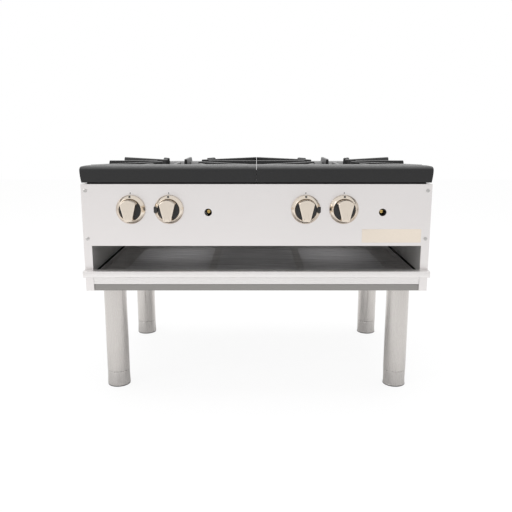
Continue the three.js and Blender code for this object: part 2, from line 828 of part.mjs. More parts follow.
// A mixing tube: a bell mouth, a throat and a straight run that is closed at its far end,
// where a riser takes it up into its ring. The far end is y = 0.
function mixingTube(x, ringPlace) {
	const mouth = mouthSetback - burnerSetback;
	const end = ringPlace + tubeRadius / 2;
	const tube = turnedBack([
		[bellRadius, mouth],
		[throatRadius + tubeWall, mouth + bellLength],
		[tubeRadius, mouth + 2 * bellLength],
		[tubeRadius, end],
		[0, end],
		[0, end - tubeWall],
		[tubeRadius - tubeWall, end - tubeWall],
		[tubeRadius - tubeWall, mouth + 2 * bellLength],
		[throatRadius, mouth + bellLength],
		[bellRadius - tubeWall / 2, mouth],
		[bellRadius, mouth],
	], 10).translate(x, 0, valveHeight);
	const riser = rod(tubeRadius - tubeWall / 2, valveHeight + tubeRadius / 2, ringBottom + tubeWall, 8)
		.translate(x, ringPlace, 0);
	return joined(tube, riser);
}

// A cast foot that comes down from the burner to its rail.
function burnerFoot(x, y, top) {
	const half = burnerFootSide / 2;
	const outline = rectangle([x - half, x + half], [y - half, y + half]);
	return alongZ(outline, burnerRailTop + seat, top);
}

// The outer casting: two rings on four spokes, with feet where it crosses the burner rails.
function outerBurner() {
	const { outer, middle } = ringRadii;
	const spokes = Array.from({ length: spokeCount }, (_, i) => {
		const half = spokeWidth / 2;
		const bar = block([middle, outer], [-half, half], [ringBottom, ringTop - ringBevel]);
		return bar.rotateZ(((i + 0.5) * 2 * Math.PI) / spokeCount);
	});
	const reach = Math.sqrt(outer ** 2 - supportOffset ** 2);
	const feet = [-1, 1].flatMap((a) =>
		[-1, 1].map((b) => burnerFoot(a * supportOffset, b * reach, ringBottom + ringBevel)));
	const inlet = -Math.sqrt(outer ** 2 - valveOffsets.outer ** 2);
	const tube = mixingTube(valveOffsets.outer, inlet);
	const body = joined(burnerRing(outer), burnerRing(middle), ...spokes, ...feet, tube);
	return cut(body, ...ports(outer, portCounts.outer), ...ports(middle, portCounts.middle));
}

// The inner casting: one ring, with an arm to each side that passes under the outer casting.
function innerBurner() {
	const { inner } = ringRadii;
	const half = spokeWidth / 2;
	const armTop = ringBottom - tubeToRing;
	const armBottom = armTop - spokeWidth;
	const arms = [-1, 1].flatMap((side) => {
		const riserX = span(side * (inner - half), side * (inner + half));
		return [
			block(span(side * inner, side * supportOffset), [-half, half], [armBottom, armTop]),
			block(riserX, [-half, half], [armBottom, ringBottom + ringBevel]),
			burnerFoot(side * supportOffset, 0, armTop),
		];
	});
	const tube = mixingTube(valveOffsets.inner, -inner);
	const body = joined(burnerRing(inner), ...arms, tube);
	return cut(body, ...ports(inner, portCounts.inner));
}

// ---------------------------------------------------------------- gas train

const tapPlaces = sides.flatMap(({ sign }) => [
	...Object.values(valveOffsets).map((offset) => sign * burnerInset + offset),
	sign * burnerInset + pilotOffset,
]);

// The manifold lies on the front cross rail. An elbow at its right end turns it to the back,
// where the inlet run leaves the cabinet with an open end.
function manifold() {
	const left = Math.min(...tapPlaces) - manifoldOverhang;
	const runX = halfWidth - inletRunInset;
	const turnX = runX - elbowRadius;
	const inletEnd = bodyDepth + inletReach;
	const main = rodX(pipeRadius, left, turnX, 12).translate(0, manifoldSetback, manifoldHeight);
	const capReach = manifoldCapLength / 2;
	const cap = rodX(manifoldCapRadius, left - capReach, left + capReach, 8);
	cap.translate(0, manifoldSetback, manifoldHeight + manifoldCapRadius - pipeRadius);
	const corner = new THREE.QuadraticBezierCurve3(
		new THREE.Vector3(turnX - 1, manifoldSetback, manifoldHeight),
		new THREE.Vector3(runX, manifoldSetback, manifoldHeight),
		new THREE.Vector3(runX, manifoldSetback + elbowRadius + 1, manifoldHeight),
	);
	const circle = new THREE.Shape().absarc(0, 0, pipeRadius, 0, 2 * Math.PI);
	const elbow = new THREE.ExtrudeGeometry(circle, { extrudePath: corner, steps: 4, curveSegments: 6 });
	const run = rodY(pipeRadius, manifoldSetback + elbowRadius, inletEnd, 12);
	run.translate(runX, 0, manifoldHeight);
	const bore = rodY(pipeRadius - pipeWall, inletEnd - 3 * pipeRadius, inletEnd + 1, 12);
	bore.translate(runX, 0, manifoldHeight);
	const bosses = tapPlaces.map((x) =>
		rod(bossRadius, manifoldHeight, bossTop, 6).translate(x, manifoldSetback, 0));
	return cut(joined(main, cap, elbow, run, ...bosses), bore);
}

// A valve stands on its manifold boss. Its stem leaves to the front and its orifice hood
// points at the burner's mixing tube. The frame is the stem's axis, above the manifold.
function gasValve() {
	const drop = bossTop + seat - valveHeight;
	const shank = rod(valveNoseRadius, drop, 0, 6);
	const body = turnedBack([
		[0, valveFront - valveNoseLength],
		[valveNoseRadius, valveFront - valveNoseLength],
		[valveNoseRadius, valveFront],
		[valveBodyRadius, valveFront + valveShoulder],
		[valveBodyRadius, valveBack - valveTail],
		[orificeRadius, valveBack],
		[orificeRadius, valveBack + orificeLength - orificeTaper],
		[orificeRadius / 2, valveBack + orificeLength],
		[0, valveBack + orificeLength],
	], 8);
	const stemBore = rodY(stemRadius + runningGap, valveFront - valveNoseLength - 1,
		valveFront - valveNoseLength + stemInValve, 10);
	const jet = rodY(jetRadius, valveBack + orificeLength / 2, valveBack + orificeLength + 1, 6);
	return cut(joined(body, shank.translate(0, manifoldSetback, 0)), stemBore, jet);
}

// The stem has a flat on the length that the knob holds.
function stemSection(radius) {
	const flat = 0.6 * radius;
	const start = Math.asin(flat / radius);
	return new THREE.Shape().absarc(0, 0, radius, Math.PI - start, 2 * Math.PI + start);
}

function valveStem() {
	const back = valveFront - valveNoseLength + stemInValve - stemEndGap;
	const round = rodY(stemRadius, -knobPanelGap, back, 10);
	const flatted = alongY(stemSection(stemRadius), -knobPanelGap - stemInKnob, -knobPanelGap + 1);
	return joined(round, flatted);
}

// The knob: a domed skirt round a recessed well, and a wedge grip that crosses the well. The
// grip is wide and round at the top, where the pointer is, and narrow at the foot.
function knob() {
	const base = knobPanelGap;
	const skirtTop = base + knobSkirtHeight;
	const rim = base + knobSkirtRim;
	const well = skirtTop - knobWellDepth;
	const skirt = turnedForward([
		[0, base],
		[knobRadius, base],
		[knobRadius, rim],
		[knobRadius - knobSkirtRounding, (rim + skirtTop) / 2],
		[knobRadius - knobShoulderInset, skirtTop - knobSkirtRounding],
		[knobDialRadius, skirtTop],
		[knobDialRadius, well],
		[0, well],
	], 20);
	const lean = (gripTopHalfWidth - gripFootHalfWidth) / (gripShoulder + gripRadius);
	const footDrop = gripRadius;
	const crownStart = Math.acos(gripTopHalfWidth / gripRadius);
	const outline = new THREE.Shape()
		.moveTo(-gripFootHalfWidth, -footDrop)
		.lineTo(gripFootHalfWidth, -footDrop)
		.lineTo(gripFootHalfWidth + lean * (footDrop + gripShoulder), gripShoulder)
		.absarc(0, 0, gripRadius, crownStart, Math.PI - crownStart);
	const grip = new THREE.ExtrudeGeometry(outline, {
		depth: knobHeight - well - gripBevel + 1,
		bevelThickness: gripBevel,
		bevelSize: gripBevel,
		bevelOffset: -gripBevel,
		bevelSegments: 1,
		curveSegments: 5,
	}).rotateX(Math.PI / 2).translate(0, -well + 1, 0);
	const bore = alongY(stemSection(stemRadius + runningGap), -base - stemInKnob - runningGap, 0);
	return cut(joined(skirt, grip), bore);
}

// The pilot valve stands on its manifold boss, with its adjusting screw behind the access
// hole in the control panel.
function pilotValve() {
	const drop = bossTop + seat - pilotHeight;
	const shank = rod(pilotBodyRadius - 1, drop, 0, 6).translate(0, manifoldSetback, 0);
	const front = pilotSetback;
	const back = manifoldSetback + pilotTailReach;
	const body = turnedBack([
		[0, front],
		[pilotBodyRadius, front],
		[pilotBodyRadius, front + pilotBodyLength],
		[pilotTailRadius, back - pilotTailLength],
		[pilotTailRadius, back],
		[0, back],
	], 8);
	const bore = rodY(pilotScrewRadius + runningGap, front - 1, front + pilotScrewLength, 10);
	return cut(joined(body, shank), bore);
}

function pilotScrew() {
	const front = pilotSetback - 1;
	const back = pilotSetback + pilotScrewLength - seat;
	const slot = block([-pilotScrewRadius, pilotScrewRadius], [front - 1, front + 2],
		[-pilotSlotWidth / 2, pilotSlotWidth / 2]);
	return cut(rodY(pilotScrewRadius, front, back, 10), slot);
}

// The pilot line runs back from its valve, turns up beside the outer ring and ends in a tip.
function pilotLine() {
	const start = manifoldSetback + pilotTailReach + seat - burnerSetback;
	const clear = ringRadii.outer + ringWidth / 2 + pilotToRing + pilotTipRadius;
	const rise = -Math.sqrt(clear ** 2 - pilotOffset ** 2);
	const top = ringTop - pilotTipLength;
	const bendPath = new THREE.QuadraticBezierCurve3(
		new THREE.Vector3(0, rise - pilotTubeBend, 0),
		new THREE.Vector3(0, rise, 0),
		new THREE.Vector3(0, rise, pilotTubeBend),
	);
	const circle = new THREE.Shape().absarc(0, 0, pilotTubeRadius, 0, 2 * Math.PI);
	const bend = new THREE.ExtrudeGeometry(circle, { extrudePath: bendPath, steps: 4, curveSegments: 4 });
	const level = rodY(pilotTubeRadius, start, rise - pilotTubeBend + 0.5, 8);
	const upright = rod(pilotTubeRadius, pilotTubeBend - 0.5, top - pilotHeight + 1, 8);
	const tip = rod(pilotTipRadius, top - pilotHeight, top - pilotHeight + pilotTipLength, 8);
	return joined(bend, level, upright.translate(0, rise, 0), tip.translate(0, rise, 0));
}

function buildBurner({ name, sign }) {
	const middle = sign * burnerInset;
	const axis = [middle, burnerSetback, 0];
	add(`${name}_outer_burner`, outerBurner(), castIron(), axis);
	add(`${name}_inner_burner`, innerBurner(), castIron(), axis);
	add(`${name}_top_grate`, topGrate(sign), castIron(), axis);
	for (const [ring, offset] of Object.entries(valveOffsets)) {
		const place = [middle + offset, 0, valveHeight];
		add(`${name}_${ring}_gas_valve`, gasValve(), brass(), place);
		add(`${name}_${ring}_valve_stem`, valveStem(), brass(), place);
		add(`${name}_${ring}_knob`, knob(), polishedNickel(), place);
	}
	const pilotX = middle + pilotOffset;
	add(`${name}_pilot_valve`, pilotValve(), brass(), [pilotX, 0, pilotHeight]);
	add(`${name}_pilot_screw`, pilotScrew(), brass(), [pilotX, 0, pilotHeight]);
	add(`${name}_pilot_line`, pilotLine(), galvanised(), [pilotX, burnerSetback, pilotHeight]);
}

buildCabinet();
buildLegs();
add('drip_tray', dripTray(), brushedSteel());
add('manifold', manifold(), blackPipe());
sides.forEach(buildBurner);

// The origin is the middle of the range's footprint, from the knobs to the gas inlet.
range.position.y = (knobHeight - bodyDepth - inletReach) / 2;

export default range;
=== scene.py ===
"""The looks of a stock pot range: finishes, castings, knobs, legs, light and camera.

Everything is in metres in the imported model's frame: +X is the range's right as its user
sees it, +Y its back, +Z up, and z = 0 is the floor.
"""

import json
import math

import bmesh
import bpy
import numpy as np
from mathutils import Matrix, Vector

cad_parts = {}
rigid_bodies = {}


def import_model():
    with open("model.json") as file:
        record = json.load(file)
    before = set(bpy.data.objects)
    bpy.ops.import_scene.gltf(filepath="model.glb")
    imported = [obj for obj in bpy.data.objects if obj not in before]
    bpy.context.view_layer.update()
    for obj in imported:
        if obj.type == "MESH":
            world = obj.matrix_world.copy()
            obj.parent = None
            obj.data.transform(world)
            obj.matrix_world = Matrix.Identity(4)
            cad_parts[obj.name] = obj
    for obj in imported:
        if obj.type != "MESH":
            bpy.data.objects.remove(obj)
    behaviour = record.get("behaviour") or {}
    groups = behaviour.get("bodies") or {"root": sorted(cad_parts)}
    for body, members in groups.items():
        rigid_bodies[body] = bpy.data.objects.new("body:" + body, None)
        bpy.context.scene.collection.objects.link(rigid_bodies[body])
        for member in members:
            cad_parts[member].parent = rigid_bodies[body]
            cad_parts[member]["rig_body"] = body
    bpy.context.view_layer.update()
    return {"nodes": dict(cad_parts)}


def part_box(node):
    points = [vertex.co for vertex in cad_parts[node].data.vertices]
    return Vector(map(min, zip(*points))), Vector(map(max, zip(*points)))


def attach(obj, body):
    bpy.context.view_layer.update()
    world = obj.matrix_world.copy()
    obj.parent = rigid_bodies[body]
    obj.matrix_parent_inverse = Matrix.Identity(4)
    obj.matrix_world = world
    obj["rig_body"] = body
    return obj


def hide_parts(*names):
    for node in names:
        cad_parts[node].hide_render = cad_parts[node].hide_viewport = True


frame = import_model()
NODES = frame["nodes"]

MM = 0.001
SIDES = {"left": -1, "right": 1}
ENDS = ("front", "rear")
RINGS = ("outer", "inner")


def low(node):
    """Lowest corner of a CAD node, as an array in metres."""
    return np.array(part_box(node)[0])


def high(node):
    """Highest corner of a CAD node, as an array in metres."""
    return np.array(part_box(node)[1])


def centre(node):
    """Middle of a CAD node's box, as an array in metres."""
    return (low(node) + high(node)) / 2


# ------------------------------------------------------------------ places from the frame

PANEL_FACE = low("control_panel")[1]  # y of the control panel's front
GRATE_LOW = low("right_top_grate")
GRATE_HIGH = high("right_top_grate")
OUTER_RAIL_X = centre("right_outer_burner_rail")[0]
INNER_RAIL_X = centre("right_inner_burner_rail")[0]
BURNER_X = (OUTER_RAIL_X + INNER_RAIL_X) / 2
OUTER_RING_RADIUS = 0.150
BURNER_Y = high("right_outer_burner")[1] - OUTER_RING_RADIUS


# ------------------------------------------------------------------ camera

# Solved from the photograph's legs, posts and panel edges.
CAMERA_HEIGHT = 0.718
CAMERA_DISTANCE = 1.6133  # in front of the control panel's face
CAMERA_PITCH = math.radians(11.65)
FOCAL_PIXELS = 620.0
FRAME_PIXELS = 512.0
SENSOR = 36.0
CENTRE_COLUMN = 256.49


def add_camera():
    data = bpy.data.cameras.new("camera")
    data.sensor_width = SENSOR
    data.lens = SENSOR * FOCAL_PIXELS / FRAME_PIXELS
    data.shift_x = (FRAME_PIXELS / 2 - CENTRE_COLUMN) / FRAME_PIXELS
    camera = bpy.data.objects.new("camera", data)
    camera.location = (0.0, PANEL_FACE - CAMERA_DISTANCE, CAMERA_HEIGHT)
    camera.rotation_euler = (math.pi / 2 - CAMERA_PITCH, 0.0, 0.0)
    bpy.context.scene.collection.objects.link(camera)
    bpy.context.scene.camera = camera


add_camera()


# ------------------------------------------------------------------ mesh code


def spread(x, y, z):
    """A grid of points from three arrays, each stretched to the shape that they share."""
    return np.stack(np.broadcast_arrays(x, y, z), axis=-1)


class Shell:
    """Points and faces of one closed surface, or of several that make one piece."""

    def __init__(self):
        self.points = np.zeros((0, 3))
        self.faces = []

    def grid(self, points, wrap_rows=False, caps=False):
        """Adds a grid of points (rows, columns, 3) whose rows are closed loops. wrap_rows joins
        the last row to the first, and caps close both of them flat."""
        rows, columns = points.shape[:2]
        steps = np.arange(rows if wrap_rows else rows - 1)
        i, j = np.meshgrid(steps, np.arange(columns), indexing="ij")
        ahead, beside = (i + 1) % rows * columns, (j + 1) % columns
        quads = np.stack([i * columns + j, i * columns + beside, ahead + beside, ahead + j], axis=-1)
        start = len(self.points)
        self.faces += (quads.reshape(-1, 4) + start).tolist()
        if caps:
            for first in (start, start + (rows - 1) * columns):
                self.faces.append((first + np.arange(columns)).tolist())
        self.points = np.vstack([self.points, points.reshape(-1, 3)])
        return self


def new_object(name, mesh, material, smooth):
    """An object with smooth faces, and edges that are sharp past an angle in degrees."""
    mesh.polygons.foreach_set("use_smooth", np.ones(len(mesh.polygons), dtype=bool))
    mesh.set_sharp_from_angle(angle=math.radians(smooth))
    mesh.materials.clear()
    mesh.materials.append(material)
    piece = bpy.data.objects.new(name, mesh)
    bpy.context.scene.collection.objects.link(piece)
    return piece


def make_piece(name, shell, material, body, slot, smooth=40.0, replaces=None):
    """A piece from a shell, with its seams and poles merged and its faces turned outwards."""
    mesh = bpy.data.meshes.new(name)
    mesh.from_pydata(shell.points.tolist(), [], shell.faces)
    work = bmesh.new()
    work.from_mesh(mesh)
    bmesh.ops.remove_doubles(work, verts=work.verts, dist=1e-6)
    bmesh.ops.recalc_face_normals(work, faces=work.faces)
    work.to_mesh(mesh)
    work.free()
    mesh.validate()
    piece = new_object(name, mesh, material, smooth)
    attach(piece, body)
    if replaces:
        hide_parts(replaces)


def refined(node, material, bevel=0.5 * MM, smooth=30.0, shift=None):
    """A copy of a CAD node with its doubles merged, flat faces joined and edges slightly rounded.

    shift(x, y) gives how far outwards the points at those places are moved along X.
    """
    source = NODES[node]
    mesh = source.data.copy()
    work = bmesh.new()
    work.from_mesh(mesh)
    bmesh.ops.remove_doubles(work, verts=work.verts, dist=1e-6)
    bmesh.ops.dissolve_limit(work, angle_limit=math.radians(1), verts=work.verts, edges=work.edges)
    work.to_mesh(mesh)
    work.free()
    if shift is not None:
        points = np.empty(3 * len(mesh.vertices))
        mesh.vertices.foreach_get("co", points)
        points = points.reshape(-1, 3)
        points[:, 0] += np.sign(points[:, 0]) * shift(np.abs(points[:, 0]), points[:, 1])
        mesh.vertices.foreach_set("co", points.ravel())
    piece = new_object(node + "_sheet", mesh, material, smooth)
    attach(piece, source["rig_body"])
    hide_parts(node)
    if bevel:
        edge = piece.modifiers.new("edge", "BEVEL")
        edge.width = bevel
        edge.segments = 2
        edge.limit_method = "ANGLE"
        edge.angle_limit = math.radians(smooth)
        edge.harden_normals = True


def turn(profile, segments=96, dent=None):
    """A profile of (radius, height) turned about Z: x = r cos a, y = r sin a, z = h.

    dent(a, r, h) gives how far the height of each point is lowered.
    """
    profile = np.asarray(profile, float)
    angle = np.linspace(0, 2 * np.pi, segments, endpoint=False)[None, :]
    radius, height = profile[:, :1], profile[:, 1:]
    if dent is not None:
        height = height - dent(angle, radius, height)
    return spread(radius * np.cos(angle), radius * np.sin(angle), height)


def arc(middle, radius, start, end, steps=6):
    """Points on a circle's arc, from one angle in degrees to another."""
    angle = np.radians(np.linspace(start, end, steps + 1))
    return np.column_stack([middle[0] + radius * np.cos(angle), middle[1] + radius * np.sin(angle)])


def rounded(points, radius, steps=5):
    """A closed path with each corner replaced by an arc tangent to its two sides."""
    points = [np.asarray(p, float) for p in points]
    result = []
    for index, corner in enumerate(points):
        before = points[index - 1] - corner
        after = points[(index + 1) % len(points)] - corner
        before = before / np.linalg.norm(before)
        after = after / np.linalg.norm(after)
        half = math.acos(np.clip(before @ after, -1, 1)) / 2
        reach = radius / math.tan(half)
        middle = corner + (before + after) / np.linalg.norm(before + after) * radius / math.sin(half)
        start = corner + before * reach - middle
        end = corner + after * reach - middle
        first = math.atan2(start[1], start[0])
        sweep = math.atan2(end[1], end[0]) - first
        sweep = (sweep + math.pi) % (2 * math.pi) - math.pi
        angle = first + sweep * np.linspace(0, 1, steps + 1)
        result += [middle + radius * np.array([math.cos(a), math.sin(a)]) for a in angle]
    return np.array(result)


def rectangle(half, radius):
    """A rectangle's outline with rounded corners, about its middle."""
    return rounded([np.array(c) * half for c in ((-1, -1), (1, -1), (1, 1), (-1, 1))], radius, 4)


def respaced(path, count, keep_corners=False):
    """Points evenly spaced along a closed path, with the path's own points too, or not."""
    loop = np.vstack([path, path[:1]])
    length = np.concatenate([[0], np.cumsum(np.linalg.norm(np.diff(loop, axis=0), axis=1))])
    places = np.linspace(0, length[-1], count, endpoint=False)
    if keep_corners:
        places = np.unique(np.concatenate([places, length[:-1]]))
    return np.column_stack([np.interp(places, length, loop[:, k]) for k in range(2)])


def smooth_step(t):
    """An S-curve from 0 to 1: three times t squared, less twice t cubed."""
    t = np.clip(t, 0, 1)
    return t * t * (3 - 2 * t)


# ------------------------------------------------------------------ material code


def node_tree_of(name):
    material = bpy.data.materials.new(name)
    material.use_nodes = True
    return material, material.node_tree, material.node_tree.nodes["Principled BSDF"]


def add(tree, kind, **settings):
    """A node of that kind, with its properties set. Keys that name an input socket set its value."""
    node = tree.nodes.new(kind)
    for key, value in settings.items():
        if hasattr(node, key):
            setattr(node, key, value)
        else:
            node.inputs[key].default_value = value
    return node


def feed(tree, socket, value):
    """Links another node's socket, or sets a plain value."""
    if isinstance(value, bpy.types.NodeSocket):
        tree.links.new(value, socket)
    else:
        socket.default_value = value


def calc(tree, operation, *values, use_clamp=False):
    """A Math node's result, from sockets or numbers."""
    node = add(tree, "ShaderNodeMath", operation=operation, use_clamp=use_clamp)
    for socket, value in zip(node.inputs, values):
        feed(tree, socket, value)
    return node.outputs[0]


def remap(tree, value, start, end, at_start=0.0, at_end=1.0, kind="LINEAR"):
    """at_start where the value is start, and at_end where it is end. start is the lower."""
    node = add(tree, "ShaderNodeMapRange", interpolation_type=kind)
    for label, given in zip(("Value", "From Min", "From Max", "To Min", "To Max"),
                            (value, start, end, at_start, at_end)):
        feed(tree, node.inputs[label], given)
    return node.outputs[0]


def ease(tree, value, start, end):
    """A soft step: 0 where the value is at start, 1 where it is at end."""
    ends = (start, end, 0.0, 1.0) if start < end else (end, start, 1.0, 0.0)
    return remap(tree, value, *ends, kind="SMOOTHSTEP")


def blend(tree, factor, a, b, kind="RGBA"):
    """Colours, or numbers, mixed: a where the factor is 0, b where it is 1."""
    node = add(tree, "ShaderNodeMix", data_type=kind)
    for label, given in (("Factor", factor), ("A", a), ("B", b)):
        feed(tree, node.inputs[label], given)
    return node.outputs["Result"]


def object_place(tree):
    return add(tree, "ShaderNodeTexCoord").outputs["Object"]


def axes(tree, vector):
    """A vector's X, Y and Z sockets."""
    split = add(tree, "ShaderNodeSeparateXYZ")
    tree.links.new(vector, split.inputs[0])
    return split.outputs


def noise(tree, vector, scale, detail, roughness=0.5):
    node = add(tree, "ShaderNodeTexNoise", Detail=detail, Roughness=roughness)
    feed(tree, node.inputs["Vector"], vector)
    feed(tree, node.inputs["Scale"], scale)
    return node.outputs["Fac"]


def rgba(color, gain=1.0):
    return (*(gain * c for c in color), 1)


def group_tree(name, inputs, outputs):
    """An empty shader node group, what it is given and what it gives.

    inputs are (name, default), and outputs are names. A default says what kind its socket is.
    """
    tree = bpy.data.node_groups.new(name, "ShaderNodeTree")
    for label, default in inputs:
        size = len(default) if isinstance(default, tuple) else 1
        kind = {1: "NodeSocketFloat", 3: "NodeSocketVector", 4: "NodeSocketColor"}[size]
        tree.interface.new_socket(label, in_out="INPUT", socket_type=kind).default_value = default
    for label in outputs:
        kind = "NodeSocketColor" if label == "Color" else "NodeSocketFloat"
        tree.interface.new_socket(label, in_out="OUTPUT", socket_type=kind)
    return tree, tree.nodes.new("NodeGroupInput").outputs, tree.nodes.new("NodeGroupOutput").inputs


def make_grain_group():
    """Brushed grain: noise drawn out along one axis gives the height and shifts of tone, and a
    broad noise gives the soft unevenness of a rolled sheet."""
    tree, given, result = group_tree(
        "brushed_grain",
        [("Stretch", (6.0, 900.0, 900.0)), ("Tone", 0.04), ("Color", (0.8, 0.8, 0.8, 1)), ("Roughness", 0.3)],
        ["Color", "Roughness", "Height"],
    )
    place = object_place(tree)
    stretched = add(tree, "ShaderNodeVectorMath", operation="MULTIPLY")
    feed(tree, stretched.inputs[0], place)
    feed(tree, stretched.inputs[1], given["Stretch"])
    grain = noise(tree, stretched.outputs[0], 1.0, 4.0, 0.62)
    centred = calc(tree, "SUBTRACT", grain, 0.5)
    uneven = calc(tree, "MULTIPLY_ADD", noise(tree, place, 5.0, 2.0), 0.35, centred)
    scaled = add(tree, "ShaderNodeVectorMath", operation="SCALE")
    feed(tree, scaled.inputs[0], given["Color"])
    feed(tree, scaled.inputs["Scale"], calc(tree, "MULTIPLY_ADD", uneven, given["Tone"], 1.0))
    feed(tree, result["Color"], scaled.outputs[0])
    feed(tree, result["Roughness"], calc(tree, "MULTIPLY_ADD", centred, 0.16, given["Roughness"]))
    feed(tree, result["Height"], grain)
    return tree


def make_wear_group():
    """Handling and edge wear: 1 on worn edges and rubbed spots, from Pointiness and a noise."""
    tree, given, result = group_tree("edge_wear", [("Amount", 0.5)], ["Mask"])
    pointiness = add(tree, "ShaderNodeNewGeometry").outputs["Pointiness"]
    spots = noise(tree, object_place(tree), 90.0, 5.0, 0.65)
    broken = calc(tree, "MULTIPLY", remap(tree, pointiness, 0.53, 0.62), spots)
    feed(tree, result["Mask"], calc(tree, "MULTIPLY", broken, given["Amount"], use_clamp=True))
    return tree


def make_casting_group():
    """Sand-cast skin: fine grit over a slow swell, as a height, with a tone that follows the grit."""
    tree, given, result = group_tree("casting_skin", [("Grit", 520.0), ("Swell", 38.0)], ["Height", "Tone"])
    place = object_place(tree)
    grit = noise(tree, place, given["Grit"], 3.0, 0.6)
    swell = noise(tree, place, given["Swell"], 2.0)
    feed(tree, result["Height"], calc(tree, "MULTIPLY_ADD", grit, 0.35, swell))
    feed(tree, result["Tone"], remap(tree, grit, 0.3, 0.7))
    return tree


def make_dust_and_highlight_group():
    """Dust with a painted highlight: 1 on faces that look up, 0 on upright ones, broken by a noise, so faces
    that look up are lightened as if lit from above.
    """
    tree, given, result = group_tree("dust_and_painted_highlight", [("Amount", 1.0)], ["Mask"])
    facing = remap(tree, axes(tree, add(tree, "ShaderNodeNewGeometry").outputs["Normal"])["Z"], 0.25, 0.9)
    cloud = noise(tree, object_place(tree), 60.0, 3.0, 0.6)
    lying = calc(tree, "MULTIPLY", facing, calc(tree, "MULTIPLY_ADD", cloud, 0.5, 0.75))
    feed(tree, result["Mask"], calc(tree, "MULTIPLY", lying, given["Amount"], use_clamp=True))
    return tree


GRAIN = make_grain_group()
WEAR = make_wear_group()
CASTING = make_casting_group()
DUST_AND_HIGHLIGHT = make_dust_and_highlight_group()


def use_group(tree, group, **values):
    node = tree.nodes.new("ShaderNodeGroup")
    node.node_tree = group
    for key, value in values.items():
        node.inputs[key].default_value = value
    return node.outputs


def bump(tree, height_socket, shader, strength, distance):
    node = add(tree, "ShaderNodeBump", Strength=strength, Distance=distance)
    tree.links.new(height_socket, node.inputs["Height"])
    tree.links.new(node.outputs["Normal"], shader.inputs["Normal"])


def brushed_metal(name, color, roughness, stretch, tone=0.05, metallic=1.0):
    """Brushed or drawn metal. stretch is large across the grain and small along it."""
    material, tree, shader = node_tree_of(name)
    shader.inputs["Metallic"].default_value = metallic
    grain = use_group(tree, GRAIN, Stretch=stretch, Tone=tone, Color=rgba(color), Roughness=roughness)
    feed(tree, shader.inputs["Base Color"], grain["Color"])
    feed(tree, shader.inputs["Roughness"], grain["Roughness"])
    bump(tree, grain["Height"], shader, 0.08, 0.05 * MM)
    return material


def cast_metal(name, color, worn, roughness, specular=0.5, wear=0.4, strength=0.35, dust_and_highlight=0.0,
               painted_shade_below=0.0):
    """Black cast iron: a gritty skin, greyer where the grit stands up and along rubbed edges,
    with dust and a painted highlight on what looks up, and matt near-black painted shade below a height."""
    material, tree, shader = node_tree_of(name)
    shader.inputs["Specular IOR Level"].default_value = specular
    skin = use_group(tree, CASTING)
    iron = blend(tree, skin["Tone"], rgba(color, 0.82), rgba(color, 1.18))
    iron = blend(tree, use_group(tree, WEAR, Amount=wear)["Mask"], iron, rgba(worn))
    # Dust and painted highlight: faces that look up are lightened towards grey, as light from above would.
    iron = blend(tree, use_group(tree, DUST_AND_HIGHLIGHT, Amount=dust_and_highlight)["Mask"], iron, DUST_AND_HIGHLIGHT_GREY)
    # Painted shade: below the given height the iron turns near-black and matt, standing in for the shade in
    # the gap under the castings.
    unshaded = remap(tree, axes(tree, object_place(tree))["Z"], painted_shade_below - 0.3 * MM, painted_shade_below)
    feed(tree, shader.inputs["Base Color"], blend(tree, unshaded, PAINTED_SHADE_BLACK, iron))
    rough = calc(tree, "MULTIPLY_ADD", skin["Tone"], 0.12, roughness - 0.06)
    feed(tree, shader.inputs["Roughness"], blend(tree, unshaded, 1.0, rough, kind="FLOAT"))
    bump(tree, skin["Height"], shader, strength, 0.25 * MM)
    return material


def polished_metal(name, color, roughness, smudge=0.1):
    """Plated or machined metal with faint smudges that dull it here and there."""
    material, tree, shader = node_tree_of(name)
    shader.inputs["Metallic"].default_value = 1.0
    smear = noise(tree, object_place(tree), 55.0, 3.0, 0.55)
    feed(tree, shader.inputs["Roughness"], calc(tree, "MULTIPLY_ADD", smear, smudge, roughness))
    feed(tree, shader.inputs["Base Color"], blend(tree, smear, rgba(color), rgba(color, 0.93)))
    return material


def enamel(name, color, roughness, speck=0.1):
    """Painted or enamelled surface with a fine orange-peel skin."""
    material, tree, shader = node_tree_of(name)
    peel = noise(tree, object_place(tree), 420.0, 2.0)
    feed(tree, shader.inputs["Base Color"], blend(tree, peel, rgba(color, 1 - speck), rgba(color, 1 + speck)))
    shader.inputs["Roughness"].default_value = roughness
    bump(tree, peel, shader, 0.08, 0.1 * MM)
    return material


def base_color_of(material):
    """A made material's tree, its shader, and the socket that colours it."""
    tree = material.node_tree
    shader = tree.nodes["Principled BSDF"]
    return tree, shader, shader.inputs["Base Color"].links[0].from_socket


def paint_tray_floor_light(material):
    """Painted light and shadow on the tray's floor: paler, less metallic fields where light falls through the
    burner bay, parted by darker bands of painted shadow under the burner rails,
    and darker towards the rear: field = away from the bands x inside the sides x clear of the rear and front."""
    tree, shader, brushed = base_color_of(material)
    place = axes(tree, object_place(tree))
    out = calc(tree, "ABSOLUTE", place["X"])
    field = ease(tree, calc(tree, "ABSOLUTE", calc(tree, "SUBTRACT", out, RAIL_SHADOW_BAND)), *RAIL_SHADOW_EDGE)
    for value, edge in ((out, FIELD_SIDE), (place["Y"], FIELD_REAR), (place["Y"], FIELD_FRONT)):
        field = calc(tree, "MULTIPLY", field, ease(tree, value, *edge))
    feed(tree, shader.inputs["Base Color"], blend(tree, field, brushed, PAINTED_LIT_FIELD))
    feed(tree, shader.inputs["Metallic"], remap(tree, field, 0.0, 1.0, TRAY_METALLIC, LIT_FIELD_METALLIC))


def paint_foot_rim_shade(material):
    """Painted shade round the feet's lowest edge, which fades out upwards."""
    tree, shader, brushed = base_color_of(material)
    unshaded = ease(tree, axes(tree, object_place(tree))["Z"], *FOOT_RIM_SHADE_EDGE)
    feed(tree, shader.inputs["Base Color"], blend(tree, unshaded, FOOT_RIM_SHADE, brushed))


# The grain runs across the front, along the sides, and up and down the legs.
ALONG_X = (7.0, 1100.0, 1100.0)
ALONG_Y = (1100.0, 7.0, 1100.0)
ALONG_Z = (700.0, 700.0, 7.0)

